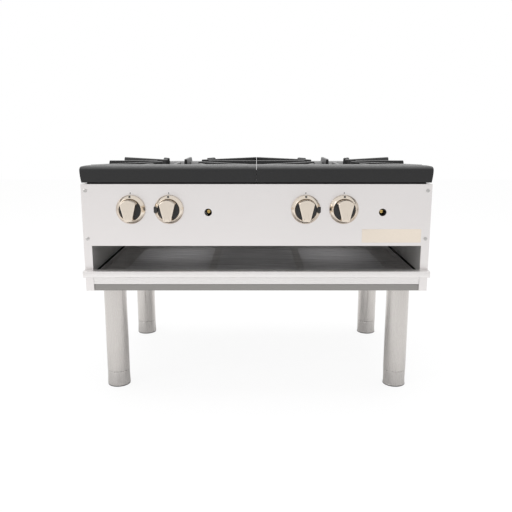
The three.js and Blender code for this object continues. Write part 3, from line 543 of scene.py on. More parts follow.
STEEL = (0.70, 0.675, 0.668)
# Grey for dust and a painted highlight on the castings' up-facing faces.
DUST_AND_HIGHLIGHT_GREY = (0.12, 0.12, 0.12, 1)
# Near-black painted shade for the recess under the castings' nose, laid on the iron below the height set
# next.
PAINTED_SHADE_BLACK = (0.001, 0.001, 0.001, 1)
PAINTED_SHADE_TOP = 580.9 * MM  # the castings' lowest edge, over the panel
# Painted light and shadow on the tray's floor: paler fields under the burner bay, darker bands under the
# burner rails.
PAINTED_LIT_FIELD = (0.62, 0.61, 0.62, 1)
TRAY_METALLIC, LIT_FIELD_METALLIC = 0.75, 0.35
RAIL_SHADOW_BAND = 124 * MM
RAIL_SHADOW_EDGE = (5 * MM, 20 * MM)
FIELD_SIDE = (376 * MM, 346 * MM)
FIELD_REAR = (190 * MM, 60 * MM)
FIELD_FRONT = (-280 * MM, -268 * MM)
# Painted shade on the feet's lowest few millimetres, fading out upwards.
FOOT_RIM_SHADE = (0.10, 0.095, 0.09, 1)
FOOT_RIM_SHADE_EDGE = (1.5 * MM, 5 * MM)

FRONT_STEEL = brushed_metal("front_steel", STEEL, 0.34, ALONG_X)
SIDE_STEEL = brushed_metal("side_steel", STEEL, 0.34, ALONG_Y)
LEG_STEEL = brushed_metal("leg_steel", (0.505, 0.482, 0.463), 0.27, ALONG_Z, tone=0.03)
FOOT_STEEL = brushed_metal("foot_steel", (0.47, 0.45, 0.435), 0.27, ALONG_Z, tone=0.04)
GALVANISED = brushed_metal("galvanised_steel", (0.36, 0.355, 0.35), 0.48, ALONG_Y, tone=0.12)
BACK_STEEL = brushed_metal("back_steel", (0.56, 0.55, 0.54), 0.42, ALONG_X, tone=0.08, metallic=0.6)
TRAY_STEEL = brushed_metal("tray_steel", (0.68, 0.66, 0.652), 0.28, ALONG_X, 0.06, TRAY_METALLIC)
LINER_STEEL = brushed_metal("liner_steel", (0.60, 0.59, 0.575), 0.5, ALONG_Y, tone=0.10, metallic=0.3)
BASE_RAIL_STEEL = brushed_metal("base_rail_steel", (0.27, 0.26, 0.25), 0.45, ALONG_X, tone=0.08)
IRON = cast_metal("cast_iron", (0.013, 0.013, 0.0135), (0.06, 0.06, 0.06), 0.42, specular=0.3, dust_and_highlight=1.0,
                  painted_shade_below=PAINTED_SHADE_TOP)
BURNER_IRON = cast_metal("burner_iron", (0.030, 0.028, 0.027), (0.08, 0.075, 0.07), 0.62)
PIPE_BLACK = cast_metal("black_pipe", (0.02, 0.02, 0.021), (0.08, 0.08, 0.08), 0.5, wear=0.3, strength=0.15)
BRASS = polished_metal("brass", (0.62, 0.44, 0.16), 0.22, smudge=0.12)
# Near-black brass on the pilot valve: painted shade for the dark hole in the panel in front of it.
SHADED_BRASS = polished_metal("brass_painted_dark", (0.022, 0.019, 0.013), 0.4)
NICKEL = polished_metal("polished_nickel", (0.74, 0.66, 0.57), 0.13, smudge=0.05)
ZINC = polished_metal("zinc_screw", (0.50, 0.49, 0.48), 0.3)
ALUMINIUM_LINE = polished_metal("aluminium_line", (0.55, 0.55, 0.55), 0.3)
WELL_BLACK = enamel("well_black", (0.012, 0.013, 0.014), 0.45)
INK_BLACK = enamel("ink_black", (0.02, 0.02, 0.02), 0.6)
# Near-black painted shade, for the strip in the gap between liner and tray.
GAP_SHADE_BLACK = enamel("gap_shade_black", (0.004, 0.004, 0.004), 0.8)
RUBBER = enamel("foot_rubber", (0.03, 0.03, 0.03), 0.7)
PLATE_FINISH = enamel("plate_cream", (0.68, 0.605, 0.52), 0.45, speck=0.03)
paint_tray_floor_light(TRAY_STEEL)
paint_foot_rim_shade(FOOT_STEEL)


# ------------------------------------------------------------------ sheet metal

POST_INNER = 433.2 * MM  # the solid posts' inner edge
POST_TRIM = 2.5 * MM
POST_FOLD = 4 * MM
TRAY_SIDE = POST_INNER - 1.7 * MM
TRAY_FRONT = 1.4 * MM  # how deep the front wall's sheet lies behind the panel's face
PAN_EDGE = 7 * MM
FRONT_WIDENED = 3.6 * MM
PAN_NARROWED = 3 * MM
LINER_LOW = low("right_liner")
STRIP_X = (LINER_LOW[0] - 1.0 * MM, LINER_LOW[0] + 0.1 * MM)
STRIP_Y = (LINER_LOW[1] + 1 * MM, high("drip_tray")[1])
STRIP_Z = (309.5 * MM, 336 * MM)


def trim_post(x, y):
    """Brings a front post's inner edge out, to the edge that the photograph shows."""
    at_edge = (np.abs(x - POST_INNER) < 1 * MM) & (y < PANEL_FACE + POST_FOLD)
    return np.where(at_edge, POST_TRIM, 0)


def fit_tray(x, y):
    """Draws the pan's side walls in from the liners, and the front wall out to the posts."""
    in_front = (x > TRAY_SIDE - 0.5 * MM) & (y < PANEL_FACE + TRAY_FRONT)
    in_pan = (x > TRAY_SIDE - PAN_EDGE) & ~in_front
    moved = np.where(in_front, FRONT_WIDENED, np.where(in_pan, -PAN_NARROWED, 0))
    return np.where(x > TRAY_SIDE + 1 * MM, 0, moved)


def make_gap_shade_strip(side):
    """A near-black strip on the foot of a liner, a dark piece standing in for the shade in the gap beside the
    tray: a box with its section's corners rounded.
    """
    near, far = STRIP_X
    foot, top = STRIP_Z
    section = rounded([(near, foot), (far, foot), (far, top), (near, top)], 0.3 * MM)
    points = spread(SIDES[side] * section[:, 0], np.array(STRIP_Y)[:, None], section[:, 1])
    make_piece(side + "_gap_shade_strip", Shell().grid(points, caps=True), GAP_SHADE_BLACK, "cabinet", "black_pipe")


def dress_cabinet():
    """The folded sheets keep their CAD shape, with their edges broken."""
    refined("control_panel", FRONT_STEEL, shift=trim_post)
    refined("drip_tray", TRAY_STEEL, shift=fit_tray)
    refined("back_panel", BACK_STEEL)
    for end in ENDS:
        refined(end + "_cross_rail", GALVANISED)
    for end in ENDS:
        refined(f"base_{end}_rail", BASE_RAIL_STEEL)
    for side in SIDES:
        make_gap_shade_strip(side)
        refined(side + "_side_panel", SIDE_STEEL, shift=trim_post)
        refined(side + "_liner", LINER_STEEL)
        for node in (f"base_{side}_rail", f"{side}_tray_runner",
                     f"{side}_outer_burner_rail", f"{side}_inner_burner_rail"):
            refined(node, GALVANISED)


def dress_gas_train():
    refined("manifold", PIPE_BLACK, bevel=0.4 * MM, smooth=35.0)
    for side in SIDES:
        for ring in RINGS:
            refined(f"{side}_{ring}_gas_valve", BRASS, bevel=0.3 * MM)
            refined(f"{side}_{ring}_valve_stem", BRASS, bevel=0)
        refined(side + "_pilot_valve", SHADED_BRASS, bevel=0.3 * MM)
        refined(side + "_pilot_screw", BRASS, bevel=0.2 * MM)
        refined(side + "_pilot_line", ALUMINIUM_LINE, bevel=0, smooth=50.0)


# ------------------------------------------------------------------ panel fittings

PLATE_X = (278.0 * MM, 434.5 * MM)
PLATE_Z = (421.5 * MM, 457.5 * MM)
PLATE_THICKNESS = 0.9 * MM
PLATE_EDGE = 0.5 * MM
PLATE_CORNER = 2.2 * MM
SCREW_RISE = 2.2 * MM
SCREW_RECESS = 1.3 * MM
MARK_RADIUS = 1.4 * MM
MARK_ABOVE_KNOB = 4.5 * MM


def forward(points, origin):
    """Turns points modelled with +Z out of the panel so that +Z points forward, and places them."""
    return spread(origin[0] + points[..., 0], origin[1] - points[..., 2], origin[2] + points[..., 1])


def make_panel_screw(node):
    """A truss head with a cross recess: height falls off as the square of the radius, less the
    recess, which is deepest in the middle and runs out along both arms."""
    head = centre(node)
    radius = (high(node)[0] - low(node)[0]) / 2
    arm = 0.62 * radius
    slot_width = 0.24 * radius

    def recess(angle, r, h):
        across = np.minimum(np.abs(r * np.cos(angle)), np.abs(r * np.sin(angle)))
        depth = SCREW_RECESS * np.clip(1 - r / arm, 0, 1)
        return np.where((across < slot_width / 2) & (h > 0), depth, 0)

    r = np.linspace(0, 1, 14)
    dome = np.column_stack([r * radius, SCREW_RISE * (1 - 0.55 * r ** 2)])
    rim = [[radius, 0.1 * MM], [0.5 * radius, 0.0], [0, 0.0]]
    points = forward(turn(np.vstack([dome, rim]), 64, recess), (head[0], low(node)[1] + SCREW_RISE, head[2]))
    make_piece(node + "_head", Shell().grid(points), ZINC, "cabinet", "zinc_screw", 30.0, replaces=node)


def make_name_plate():
    """A bare cream plate with rounded corners and a softened edge, low on the panel's right."""
    (left, right), (bottom, top) = PLATE_X, PLATE_Z
    half = np.array([(right - left) / 2, (top - bottom) / 2])
    rows = []
    for inset, depth in ((0, 0), (0, PLATE_THICKNESS - PLATE_EDGE), (PLATE_EDGE, PLATE_THICKNESS),
                         (half[1] * 0.98, PLATE_THICKNESS)):
        outline = rectangle(half - inset, max(PLATE_CORNER - inset, 0.05 * MM))
        rows.append(np.column_stack([outline, np.full(len(outline), depth)]))
    points = forward(np.array(rows), ((left + right) / 2, PANEL_FACE, (bottom + top) / 2))
    make_piece("name_plate", Shell().grid(points, caps=True), PLATE_FINISH, "cabinet", "brushed_steel")


def make_index_marks():
    """A small printed dot on the panel above each knob."""
    for side in SIDES:
        for ring in RINGS:
            node = f"{side}_{ring}_knob"
            dot = turn([[0, 0.15 * MM], [MARK_RADIUS - 0.1 * MM, 0.15 * MM], [MARK_RADIUS, 0], [0, 0]], 24)
            place = (centre(node)[0], PANEL_FACE, high(node)[2] + MARK_ABOVE_KNOB)
            points = forward(dot * [1, 1.3, 1], place)
            make_piece(f"{side}_{ring}_index_mark", Shell().grid(points), INK_BLACK, "cabinet", "black_pipe")


# ------------------------------------------------------------------ knobs

KNOB_SKIRT = 15 * MM
KNOB_RIM = 4 * MM
DIAL_RADIUS = 28.5 * MM
WELL = KNOB_SKIRT - 5 * MM
GRIP_RADIUS = 28.0 * MM
GRIP_FOOT = 9.6 * MM
GRIP_ROUND = 2.0 * MM
GRIP_DRAFT = 0.6 * MM
SHOULDER_SLOPE = math.radians(38)
WINDOW_HALF = (8.6 * MM, 6.3 * MM)
WINDOW_AT = {("left", "inner"): math.pi / 2, ("right", "outer"): -math.pi / 2}


def grip_outline(count=144):
    """The wedge seen from the front: an arc at the top, straight sides that close towards the
    foot, and corners rounded by averaging each point with its neighbours."""
    foot = -GRIP_RADIUS * 0.985
    path = np.vstack([[-GRIP_FOOT, foot], [GRIP_FOOT, foot], arc((0, 0), GRIP_RADIUS, 41, 139, 20)])
    points = respaced(path, count)
    for _ in range(3):
        points = (np.roll(points, 1, axis=0) + 2 * points + np.roll(points, -1, axis=0)) / 4
    return points


def inset_outline(points, distance):
    """Moves each point inwards along the outline's normal."""
    ahead = np.roll(points, -1, axis=0) - np.roll(points, 1, axis=0)
    normal = np.column_stack([-ahead[:, 1], ahead[:, 0]])
    return points + distance * normal / np.linalg.norm(normal, axis=1, keepdims=True)


def on_shoulder(points, radius, turned, origin):
    """Leans points by the skirt's slope, sets them on its shoulder at the top, and turns them
    about the knob's axis."""
    cos, sin = math.cos(SHOULDER_SLOPE), math.sin(SHOULDER_SLOPE)
    x = points[..., 0]
    y = (radius + DIAL_RADIUS) / 2 + 0.6 * MM + points[..., 1] * cos + points[..., 2] * sin
    z = (KNOB_RIM + KNOB_SKIRT) / 2 + 1.9 * MM + points[..., 2] * cos - points[..., 1] * sin
    cos, sin = math.cos(turned), math.sin(turned)
    return Shell().grid(forward(spread(x * cos - y * sin, x * sin + y * cos, z), origin))


def make_knob(side, ring):
    """A turned skirt with a dial and a well, a wedge grip in it, a pointer dot on the shoulder,
    and on one knob of each burner a black window at the side."""
    node = f"{side}_{ring}_knob"
    body = f"{side}_{ring}_control"
    origin = np.array([centre(node)[0], high(node)[1], centre(node)[2]])
    height = high(node)[1] - low(node)[1]
    radius = (high(node)[0] - low(node)[0]) / 2

    def turned_piece(part, profile, segments, material, slot, **settings):
        points = forward(turn(profile, segments), origin)
        make_piece(f"{node}_{part}", Shell().grid(points), material, body, slot, **settings)

    # A thin cylindrical rim, a shoulder that rises to the dial, and the well's wall.
    turned_piece("skirt", np.vstack([
        [[0, 0]],
        [[radius - 0.6 * MM, 0]],
        arc((radius - 0.6 * MM, 0.6 * MM), 0.6 * MM, -90, 0, 3),
        arc((radius - 2.0 * MM, KNOB_RIM), 2.0 * MM, 0, 55, 5),
        arc((DIAL_RADIUS + 1.4 * MM, KNOB_SKIRT - 1.2 * MM), 1.2 * MM, 50, 170, 7),
        [[DIAL_RADIUS, WELL]],
        [[0, WELL]],
    ]), 128, NICKEL, "polished_nickel", smooth=50.0, replaces=node)
    disc = DIAL_RADIUS - 0.15 * MM
    turned_piece("well", [
        [0, WELL + 0.5 * MM], [DIAL_RADIUS - 0.5 * MM, WELL + 0.5 * MM], [disc, WELL + 0.2 * MM],
        [disc, WELL - 0.3 * MM], [0, WELL - 0.3 * MM],
    ], 96, WELL_BLACK, "black_pipe")

    # The grip's outline is carried forward, drawn in a little, rounded over, and closed in rings.
    outline = grip_outline()
    rows = [(0.2 * MM + WELL, 0.0), (height - GRIP_ROUND, GRIP_DRAFT)]
    for step in np.radians(np.linspace(15, 90, 6)):
        rows.append((height - GRIP_ROUND * (1 - math.sin(step)),
                     GRIP_DRAFT + GRIP_ROUND * (1 - math.cos(step))))
    rings = [np.column_stack([inset_outline(outline, inset), np.full(len(outline), depth)])
             for depth, inset in rows]
    last = rings[-1]
    middle = last.mean(axis=0)
    rings += [middle + (last - middle) * share for share in (0.8, 0.5, 0.2, 0.0)]
    rings.insert(0, np.tile([middle[0], middle[1], rows[0][0]], (len(outline), 1)))
    make_piece(f"{node}_grip", Shell().grid(forward(np.array(rings), origin)), NICKEL, body,
               "polished_nickel", smooth=50.0)

    dot = turn([
        [0, 0.6 * MM], [2.7 * MM, 0.6 * MM], [3.0 * MM, 0.2 * MM], [3.0 * MM, -1 * MM], [0, -1 * MM],
    ], 32)
    make_piece(f"{node}_pointer", on_shoulder(dot, radius, 0, origin), INK_BLACK, body, "black_pipe")

    # The window is a disc squared off: r = (|cos a|^5 + |sin a|^5)^(-1/5).
    turned = WINDOW_AT.get((side, ring))
    if turned is not None:
        pane = turn([
            [0, 0.8 * MM], [0.86, 0.8 * MM], [0.97, 0.5 * MM], [1, 0], [1, -2.0 * MM], [0, -2.0 * MM],
        ], 48)
        angle = np.arctan2(pane[..., 1], pane[..., 0])
        reach = np.hypot(pane[..., 0], pane[..., 1])
        squared = (np.abs(np.cos(angle)) ** 5 + np.abs(np.sin(angle)) ** 5) ** -0.2
        pane[..., 0] = WINDOW_HALF[0] * reach * squared * np.cos(angle)
        pane[..., 1] = WINDOW_HALF[1] * reach * squared * np.sin(angle)
        make_piece(f"{node}_window", on_shoulder(pane, radius, turned, origin), INK_BLACK, body, "black_pipe")


# ------------------------------------------------------------------ legs and feet

LEG_RADIUS = 31.0 * MM
LEG_WALL = 1.5 * MM
LEG_PLATE = 3 * MM
LEG_LIP = 0.5 * MM
FOOT_NECK = 30.6 * MM
FOOT_PLUG = 29.2 * MM
FOOT_SOLE = 3.0 * MM


def make_leg(end, side):
    """A drawn tube, turned about its axis, under a square plate with rounded corners."""
    node = f"{end}_{side}_leg"
    axis = centre(node) * [1, 1, 0]
    bottom, top = low(node)[2], high(node)[2]
    tube_top = top - LEG_PLATE / 2
    profile = np.vstack([
        [[LEG_RADIUS - LEG_WALL, bottom]],
        [[LEG_RADIUS - LEG_LIP, bottom]],
        [[LEG_RADIUS, bottom + LEG_LIP]],
        np.column_stack([np.full(12, LEG_RADIUS), np.linspace(bottom + 2 * LEG_LIP, tube_top, 12)]),
        [[LEG_RADIUS - LEG_WALL, tube_top]],
    ])
    outline = rectangle((high(node) - low(node))[:2] / 2, 3 * MM)
    plate = spread(outline[:, 0], outline[:, 1], np.array([[top - LEG_PLATE], [top]]))
    shell = Shell().grid(turn(profile, 112) + axis, wrap_rows=True).grid(plate + axis, caps=True)
    make_piece(node + "_tube", shell, LEG_STEEL, "cabinet", "brushed_steel", replaces=node)


def make_foot(end, side):
    """The foot's radius goes from a circle at the seam to a soft hexagon lower down:
    r = round * (1 + share * (hexagon - 1)), with a dark sole under it."""
    node = f"{end}_{side}_foot"
    body = f"{end}_{side}_leveller"
    axis = centre(node) * [1, 1, 0]
    seam = low(f"{end}_{side}_leg")[2]
    top = high(node)[2]
    wide = (high(node)[0] - low(node)[0]) / 2
    heights = np.concatenate([np.linspace(FOOT_SOLE, 8 * MM, 5), np.linspace(14 * MM, seam - 1.5 * MM, 8)])
    above = heights - FOOT_SOLE
    share = np.clip((seam - heights) / (0.75 * seam), 0, 1) * np.clip(above / (4 * MM) + 0.35, 0, 1)
    radii = wide + (FOOT_NECK - wide) * (above / (seam - FOOT_SOLE)) ** 0.8
    angle = np.linspace(0, 2 * np.pi, 144, endpoint=False)
    sixth = np.abs((angle + math.radians(12)) % (np.pi / 3) - np.pi / 6)
    hexagon = np.minimum(1.0, 0.955 / np.cos(np.pi / 6 - sixth))
    reach = radii[:, None] * (1 + share[:, None] * (hexagon - 1))
    sides = spread(reach * np.cos(angle), reach * np.sin(angle), heights[:, None])
    upper = turn([
        [FOOT_NECK - 0.4 * MM, seam - 0.7 * MM], [FOOT_NECK - 1.2 * MM, seam - 0.4 * MM],
        [FOOT_PLUG, seam - 0.4 * MM], [FOOT_PLUG, top - 2 * MM], [FOOT_PLUG - 2 * MM, top], [0, top],
    ], 144)
    lower = turn([[0, FOOT_SOLE - 0.6 * MM], [wide - 3 * MM, FOOT_SOLE - 0.6 * MM]], 144)
    make_piece(node + "_shoe", Shell().grid(np.concatenate([lower, sides, upper]) + axis), FOOT_STEEL, body,
               "brushed_steel", smooth=28.0, replaces=node)
    pad = turn([
        [0, FOOT_SOLE - 0.5 * MM], [wide - 1.6 * MM, FOOT_SOLE - 0.5 * MM],
        [wide - 0.5 * MM, FOOT_SOLE - 1.2 * MM], [wide - 0.8 * MM, 0.8 * MM], [wide - 2.2 * MM, 0], [0, 0],
    ], 144)
    make_piece(node + "_sole", Shell().grid(pad + axis), RUBBER, body, "black_pipe")


# ------------------------------------------------------------------ top grates

# Heights and widths of the casting, measured from the CAD node's box.
NOSE_TOP = GRATE_HIGH[2]
GRATE_FOOT = GRATE_LOW[2]
DECK_TOP = NOSE_TOP - 20.5 * MM
DECK_THICKNESS = 8 * MM
DECK_UNDER = DECK_TOP - DECK_THICKNESS
FINGER_TOP = NOSE_TOP - 5.85 * MM
NOSE_FRONT = GRATE_LOW[1]
GRATE_REAR = GRATE_HIGH[1]
NOSE_BACK = NOSE_FRONT + 42 * MM
SEAM_X = GRATE_LOW[0] - 0.25 * MM
OUTER_X = GRATE_HIGH[0]
GRATE_WALL = 9 * MM
RIM_HEIGHT = 3.7 * MM
RIM_WIDTH = 6 * MM
RIM_BEHIND_NOSE = 8.5 * MM
RIM_BEHIND_SIDE = 11.5 * MM
LEDGE_HEIGHT = 8 * MM
TAPER = 3.6 * MM
WIDEST_DROP = 15 * MM
WALL_INSET = 0.6 * MM  # the side wall's top behind the casting's widest place
BOWL_RIM = 210 * MM
BOWL_OPENING = 166 * MM
BOWL_DEPTH = 13 * MM
BEAD = 4.2 * MM
FINGER_TIP = 79 * MM
FINGER_WIDTH = 8.5 * MM
FINGER_DRAFT = 3.5 * MM
FINGER_DEPTH = 30 * MM
FINGER_TIP_DEPTH = 17 * MM
REAR_FINGER_END = GRATE_REAR - 20 * MM
FRONT_FINGER_END = NOSE_FRONT + 38 * MM
SHORT_FINGERS = (173 * MM, 225 * MM)

# The outer end's outline: distance in from the widest place against depth below the top.
SHOULDER = np.array([
    [66, 0], [52, 0.55], [40, 1.15], [28, 1.85], [18, 2.55], [12, 3.1], [8, 3.6], [5.2, 4.1], [3.4, 4.75],
    [2.1, 5.5], [1.2, 6.5], [0.6, 8.0], [0.2, 10.4], [0.05, 12.8], [0, 15],
]) * MM
# Where the nose's section is repeated, in from the outer end, in millimetres.
END_INSETS = [0, 0.05, 0.15, 0.35, 0.6, 0.9, 1.3, 1.8, 2.4, 3, 3.6, 4.4, 5.2, 6.5, 8, 10, 12, 15.05, 15.15,
              18, 22, 30, 40, 52, 66]


def shoulder_drop(inset):
    """How far the top lies below the nose's top, at a distance in from the outer edge."""
    return np.interp(inset, SHOULDER[::-1, 0], SHOULDER[::-1, 1])


def nose_section():
    """The hollow bull-nosed section, as a closed loop of (y, z): down the front's draft, over
    the nose, down its back to the deck, and back through the hollow inside."""
    front, top = NOSE_FRONT, NOSE_TOP
    crown_end = front + 30 * MM
    foot = GRATE_FOOT + RIM_HEIGHT
    rim = front + 3 * MM + RIM_BEHIND_NOSE
    return np.vstack([
        [[front + 3.4 * MM, foot + 0.2 * MM]],
        arc((front + 3.6 * MM, foot + 1.2 * MM), 1.2 * MM, 200, 180, 1),
        np.column_stack([np.linspace(front + 2.0 * MM, front, 6),
                         np.linspace(foot + 4 * MM, top - 18 * MM, 6)]),
        arc((front + 16 * MM, top - 16 * MM), 16 * MM, 178, 92, 14),
        [[crown_end - 6 * MM, top]],
        arc((crown_end - 4 * MM, top - 9 * MM), 9 * MM, 88, 42, 6),
        [[NOSE_BACK - 4 * MM, DECK_TOP + 1.6 * MM],
         [NOSE_BACK, DECK_TOP + 0.3 * MM],
         [NOSE_BACK + 4 * MM, DECK_TOP - 0.4 * MM],
         [NOSE_BACK + 4 * MM, DECK_UNDER],
         [NOSE_BACK - 9 * MM, DECK_UNDER],
         [crown_end - 9 * MM, top - 9 * MM],
         [front + 16 * MM, top - 9 * MM],
         [front + 9 * MM, top - 16 * MM],
         [front + 12 * MM, foot + LEDGE_HEIGHT],
         [rim + RIM_WIDTH, foot + LEDGE_HEIGHT],
         [rim + RIM_WIDTH, GRATE_FOOT],
         [rim, GRATE_FOOT],
         [rim, foot]],
    ])


def nose_shell(shell, sign):
    """The section is carried from the seam to the outer end. At each place along it, heights
    are held between the end outline's draft below and its shoulder above."""
    section = nose_section()
    width = OUTER_X - SEAM_X
    insets = np.concatenate([
        END_INSETS, np.linspace(90, width / MM - 3, 8), [width / MM - 1.0, width / MM - 0.3, width / MM],
    ]) * MM
    highest = NOSE_TOP - shoulder_drop(insets)
    seam_edge = 0.9 * MM
    from_seam = width - insets
    highest -= np.where(from_seam < seam_edge, seam_edge - from_seam, 0)
    depth = NOSE_TOP - WIDEST_DROP - GRATE_FOOT
    lowest = GRATE_FOOT + np.where(insets < TAPER, (1 - np.sqrt(np.clip(insets / TAPER, 0, 1))) * depth, 0)
    behind_side = insets < TAPER + RIM_BEHIND_SIDE
    lowest = np.where(behind_side, np.maximum(lowest, GRATE_FOOT + RIM_HEIGHT), lowest)
    heights = np.clip(section[None, :, 1], lowest[:, None], highest[:, None])
    shell.grid(spread(sign * (OUTER_X - insets)[:, None], section[:, 0], heights), caps=True)
    # Plates close the hollow at both ends.
    hollow = np.array([
        [NOSE_BACK - 1 * MM, DECK_TOP - 6 * MM],
        [NOSE_FRONT + 20 * MM, NOSE_TOP - 7 * MM],
        [NOSE_FRONT + 14 * MM, NOSE_TOP - 8 * MM],
        [NOSE_FRONT + 7 * MM, NOSE_TOP - 18 * MM],
        [NOSE_FRONT + 9 * MM, GRATE_FOOT + RIM_HEIGHT + 0.2 * MM],
        [NOSE_BACK - 1 * MM, GRATE_FOOT + RIM_HEIGHT + 0.2 * MM],
    ])
    for insets in (np.array([3.8, 12.6]) * MM, np.array([width - 9 * MM, width - 0.4 * MM])):
        shell.grid(spread(sign * (OUTER_X - insets)[:, None], hollow[:, 0], hollow[:, 1]), caps=True)


def bowl_height(radius):
    """Height of the deck and the bowl: level outside the rim, and an S-curve down to the lip."""
    fall = smooth_step((BOWL_RIM - radius) / (BOWL_RIM - BOWL_OPENING - GRATE_WALL))
    return DECK_TOP - BOWL_DEPTH * fall


def deck_shell(shell, sign):
    """The deck, its bowl and its side walls, as one ring: lines run out from the opening's bead,
    up the bowl, over the deck to the rectangle's edge, down the wall and back underneath."""
    axis = np.array([sign * BURNER_X, BURNER_Y])
    left, right = sorted([sign * SEAM_X, sign * (OUTER_X - WALL_INSET)])
    front = NOSE_BACK - 6 * MM
    corners = [(left, front), (right, front), (right, GRATE_REAR), (left, GRATE_REAR)]
    edge = respaced(rounded(corners, 3 * MM), 400, keep_corners=True)
    out = edge - axis
    reach = np.linalg.norm(out, axis=1)
    direction = out / reach[:, None]

    at_outer = np.abs(edge[:, 0] - sign * (OUTER_X - WALL_INSET)) < 1.5 * MM
    at_front = edge[:, 1] < NOSE_BACK - 2 * MM
    wall_foot = np.where(at_front, DECK_UNDER + 0.5 * MM, GRATE_FOOT)
    taper = np.where(at_outer, TAPER - WALL_INSET, 0)
    clear = np.where(at_outer, RIM_HEIGHT, 0)
    # The side walls' inward direction is along the axes, so a wall keeps its thickness.
    middle = np.array([(left + right) / 2, (NOSE_BACK + GRATE_REAR) / 2])
    half = np.array([(right - left) / 2, (GRATE_REAR - NOSE_BACK) / 2])
    inward = (middle - edge) / half

    def around(radius, height):
        place = axis + direction * np.minimum(radius, reach)[:, None]
        return spread(place[:, 0], place[:, 1], height)

    def beside(inset, height):
        place = edge + np.clip(inward * 40, -1, 1) * np.broadcast_to(inset, len(edge))[:, None]
        return spread(place[:, 0], place[:, 1], height)

    lip = DECK_TOP - BOWL_DEPTH
    rows = []
    for angle in np.radians(np.linspace(240, 80, 9)):
        rows.append(around(BOWL_OPENING + BEAD + BEAD * math.cos(angle),
                           lip - 3.0 * MM + BEAD * math.sin(angle)))
    for radius in np.linspace(BOWL_OPENING + GRATE_WALL, BOWL_RIM, 14):
        rows.append(around(radius, bowl_height(radius)))
    round_over = 2.4 * MM
    for share in np.linspace(0.15, 1, 6):
        rows.append(around(BOWL_RIM + share * (reach - round_over - BOWL_RIM), DECK_TOP))
    for angle in np.radians(np.linspace(75, 0, 5)):
        rows.append(beside(round_over * (1 - math.cos(angle)), DECK_TOP - round_over * (1 - math.sin(angle))))
    wall_top = DECK_TOP - round_over
    for share in (0.5, 0.97, 1.0):
        rows.append(beside(taper * share ** 2 + (0.6 * MM if share == 1.0 else 0),
                           wall_top + share * (wall_foot + clear - wall_top)))
    rim = taper + np.where(at_outer, RIM_BEHIND_SIDE, 1.0 * MM)
    rim_end = np.where(at_outer, rim + RIM_WIDTH, GRATE_WALL)
    ledge = np.where(at_outer, wall_foot + RIM_HEIGHT + LEDGE_HEIGHT, wall_foot + 1 * MM)
    rows += [
        beside(rim, wall_foot + clear), beside(rim, wall_foot), beside(rim_end, wall_foot),
        beside(rim_end, ledge), beside(taper + GRATE_WALL, ledge), beside(taper + GRATE_WALL, DECK_UNDER),
        around(BOWL_RIM + GRATE_WALL, DECK_UNDER), around(BOWL_OPENING + GRATE_WALL, lip - DECK_THICKNESS),
    ]
    shell.grid(np.array(rows), wrap_rows=True)


def round_drop(distance, radius):
    """How far a quarter round lies below its top, at a distance from its end."""
    inside = radius - np.clip(distance, 0, radius)
    return radius - np.sqrt(radius ** 2 - inside ** 2)


def half_width(z):
    """Half a finger's width at a height, which grows downwards with the draft."""
    return FINGER_WIDTH / 2 + FINGER_DRAFT / 2 * (FINGER_TOP - z) / FINGER_DEPTH


def finger_shell(shell, sign, angle, start, end=None):
    """One finger, from its tip outwards. Its half width grows from the top down with the draft,
    its top edges are rounded, and it flares where it meets the deck. With no end it runs to the
    casting's side, where its points stop on the side's plane."""
    axis = np.array([sign * BURNER_X, BURNER_Y])
    along = np.array([math.cos(angle), math.sin(angle)])
    across = np.array([-along[1], along[0]])
    trimmed = end is None
    outwards = along[0] * sign > 0
    if trimmed:
        edge = (OUTER_X - BURNER_X) if outwards else (BURNER_X - SEAM_X)
        end = edge / abs(along[0])
    stations = np.unique(np.concatenate([
        start + np.array([0, 0.4, 1.0, 1.8, 3.0]) * MM,
        np.linspace(start + 5 * MM, end - 12 * MM, 26),
        end - np.array([10, 8, 6.5, 5, 4, 3, 2, 1.2, 0.6, 0.2, 0]) * MM,
    ]))
    bottom = np.full(len(stations), FINGER_TOP - FINGER_DEPTH)
    if start < BOWL_OPENING:
        bottom = np.interp(stations, [start, BOWL_OPENING, end],
                           [FINGER_TOP - FINGER_TIP_DEPTH, FINGER_TOP - FINGER_DEPTH, DECK_UNDER])
    top = FINGER_TOP - round_drop(stations - start, 2.6 * MM)
    if trimmed:
        inset = (end - stations) * abs(along[0])
        limit = NOSE_TOP - shoulder_drop(inset) if outwards else FINGER_TOP - np.clip(0.8 * MM - inset, 0, 1)
    else:
        limit = FINGER_TOP - round_drop(end - stations, 10 * MM)
    top = np.minimum(top, limit)

    crown = 2.2 * MM
    soft = 1.8 * MM
    flare = 3.5 * MM
    pinch = 1 - 0.22 * np.clip(1 - (stations - start) / (3 * MM), 0, 1) ** 2
    deck = bowl_height(stations)
    on_deck = stations > BOWL_OPENING
    side = [(0 * bottom, bottom), (half_width(bottom) - soft, bottom), (half_width(bottom), bottom + soft)]
    for k, share in enumerate((0.0, 0.12, 0.35, 0.65, 1.0)):
        free_z = bottom + soft + (k + 1) / 7 * (top - crown - bottom - soft)
        z = np.where(on_deck, np.minimum(deck + share * flare, top - crown), free_z)
        grow = flare - np.sqrt(flare ** 2 - (flare - np.clip(share * flare, 0, flare)) ** 2)
        side.append((half_width(z) + np.where(on_deck & (z < top - crown), grow, 0), z))
    for bend in np.radians([0, 22, 45, 68, 90]):
        side.append((half_width(top) - crown + crown * math.cos(bend), top - crown + crown * math.sin(bend)))
    side.append((0 * top, top))

    columns = []
    for w, z in side + [(-w, z) for w, z in side[-2:0:-1]]:
        w = w * pinch
        reach = stations
        if trimmed:
            end_here = (edge + w * across[0] * (-1 if along[0] > 0 else 1)) / abs(along[0])
            reach = start + (stations - start) * (end_here - start) / (end - start)
        place = axis + reach[:, None] * along + w[:, None] * across
        columns.append(np.column_stack([place, z]))
    shell.grid(np.stack(columns, axis=1), caps=True)


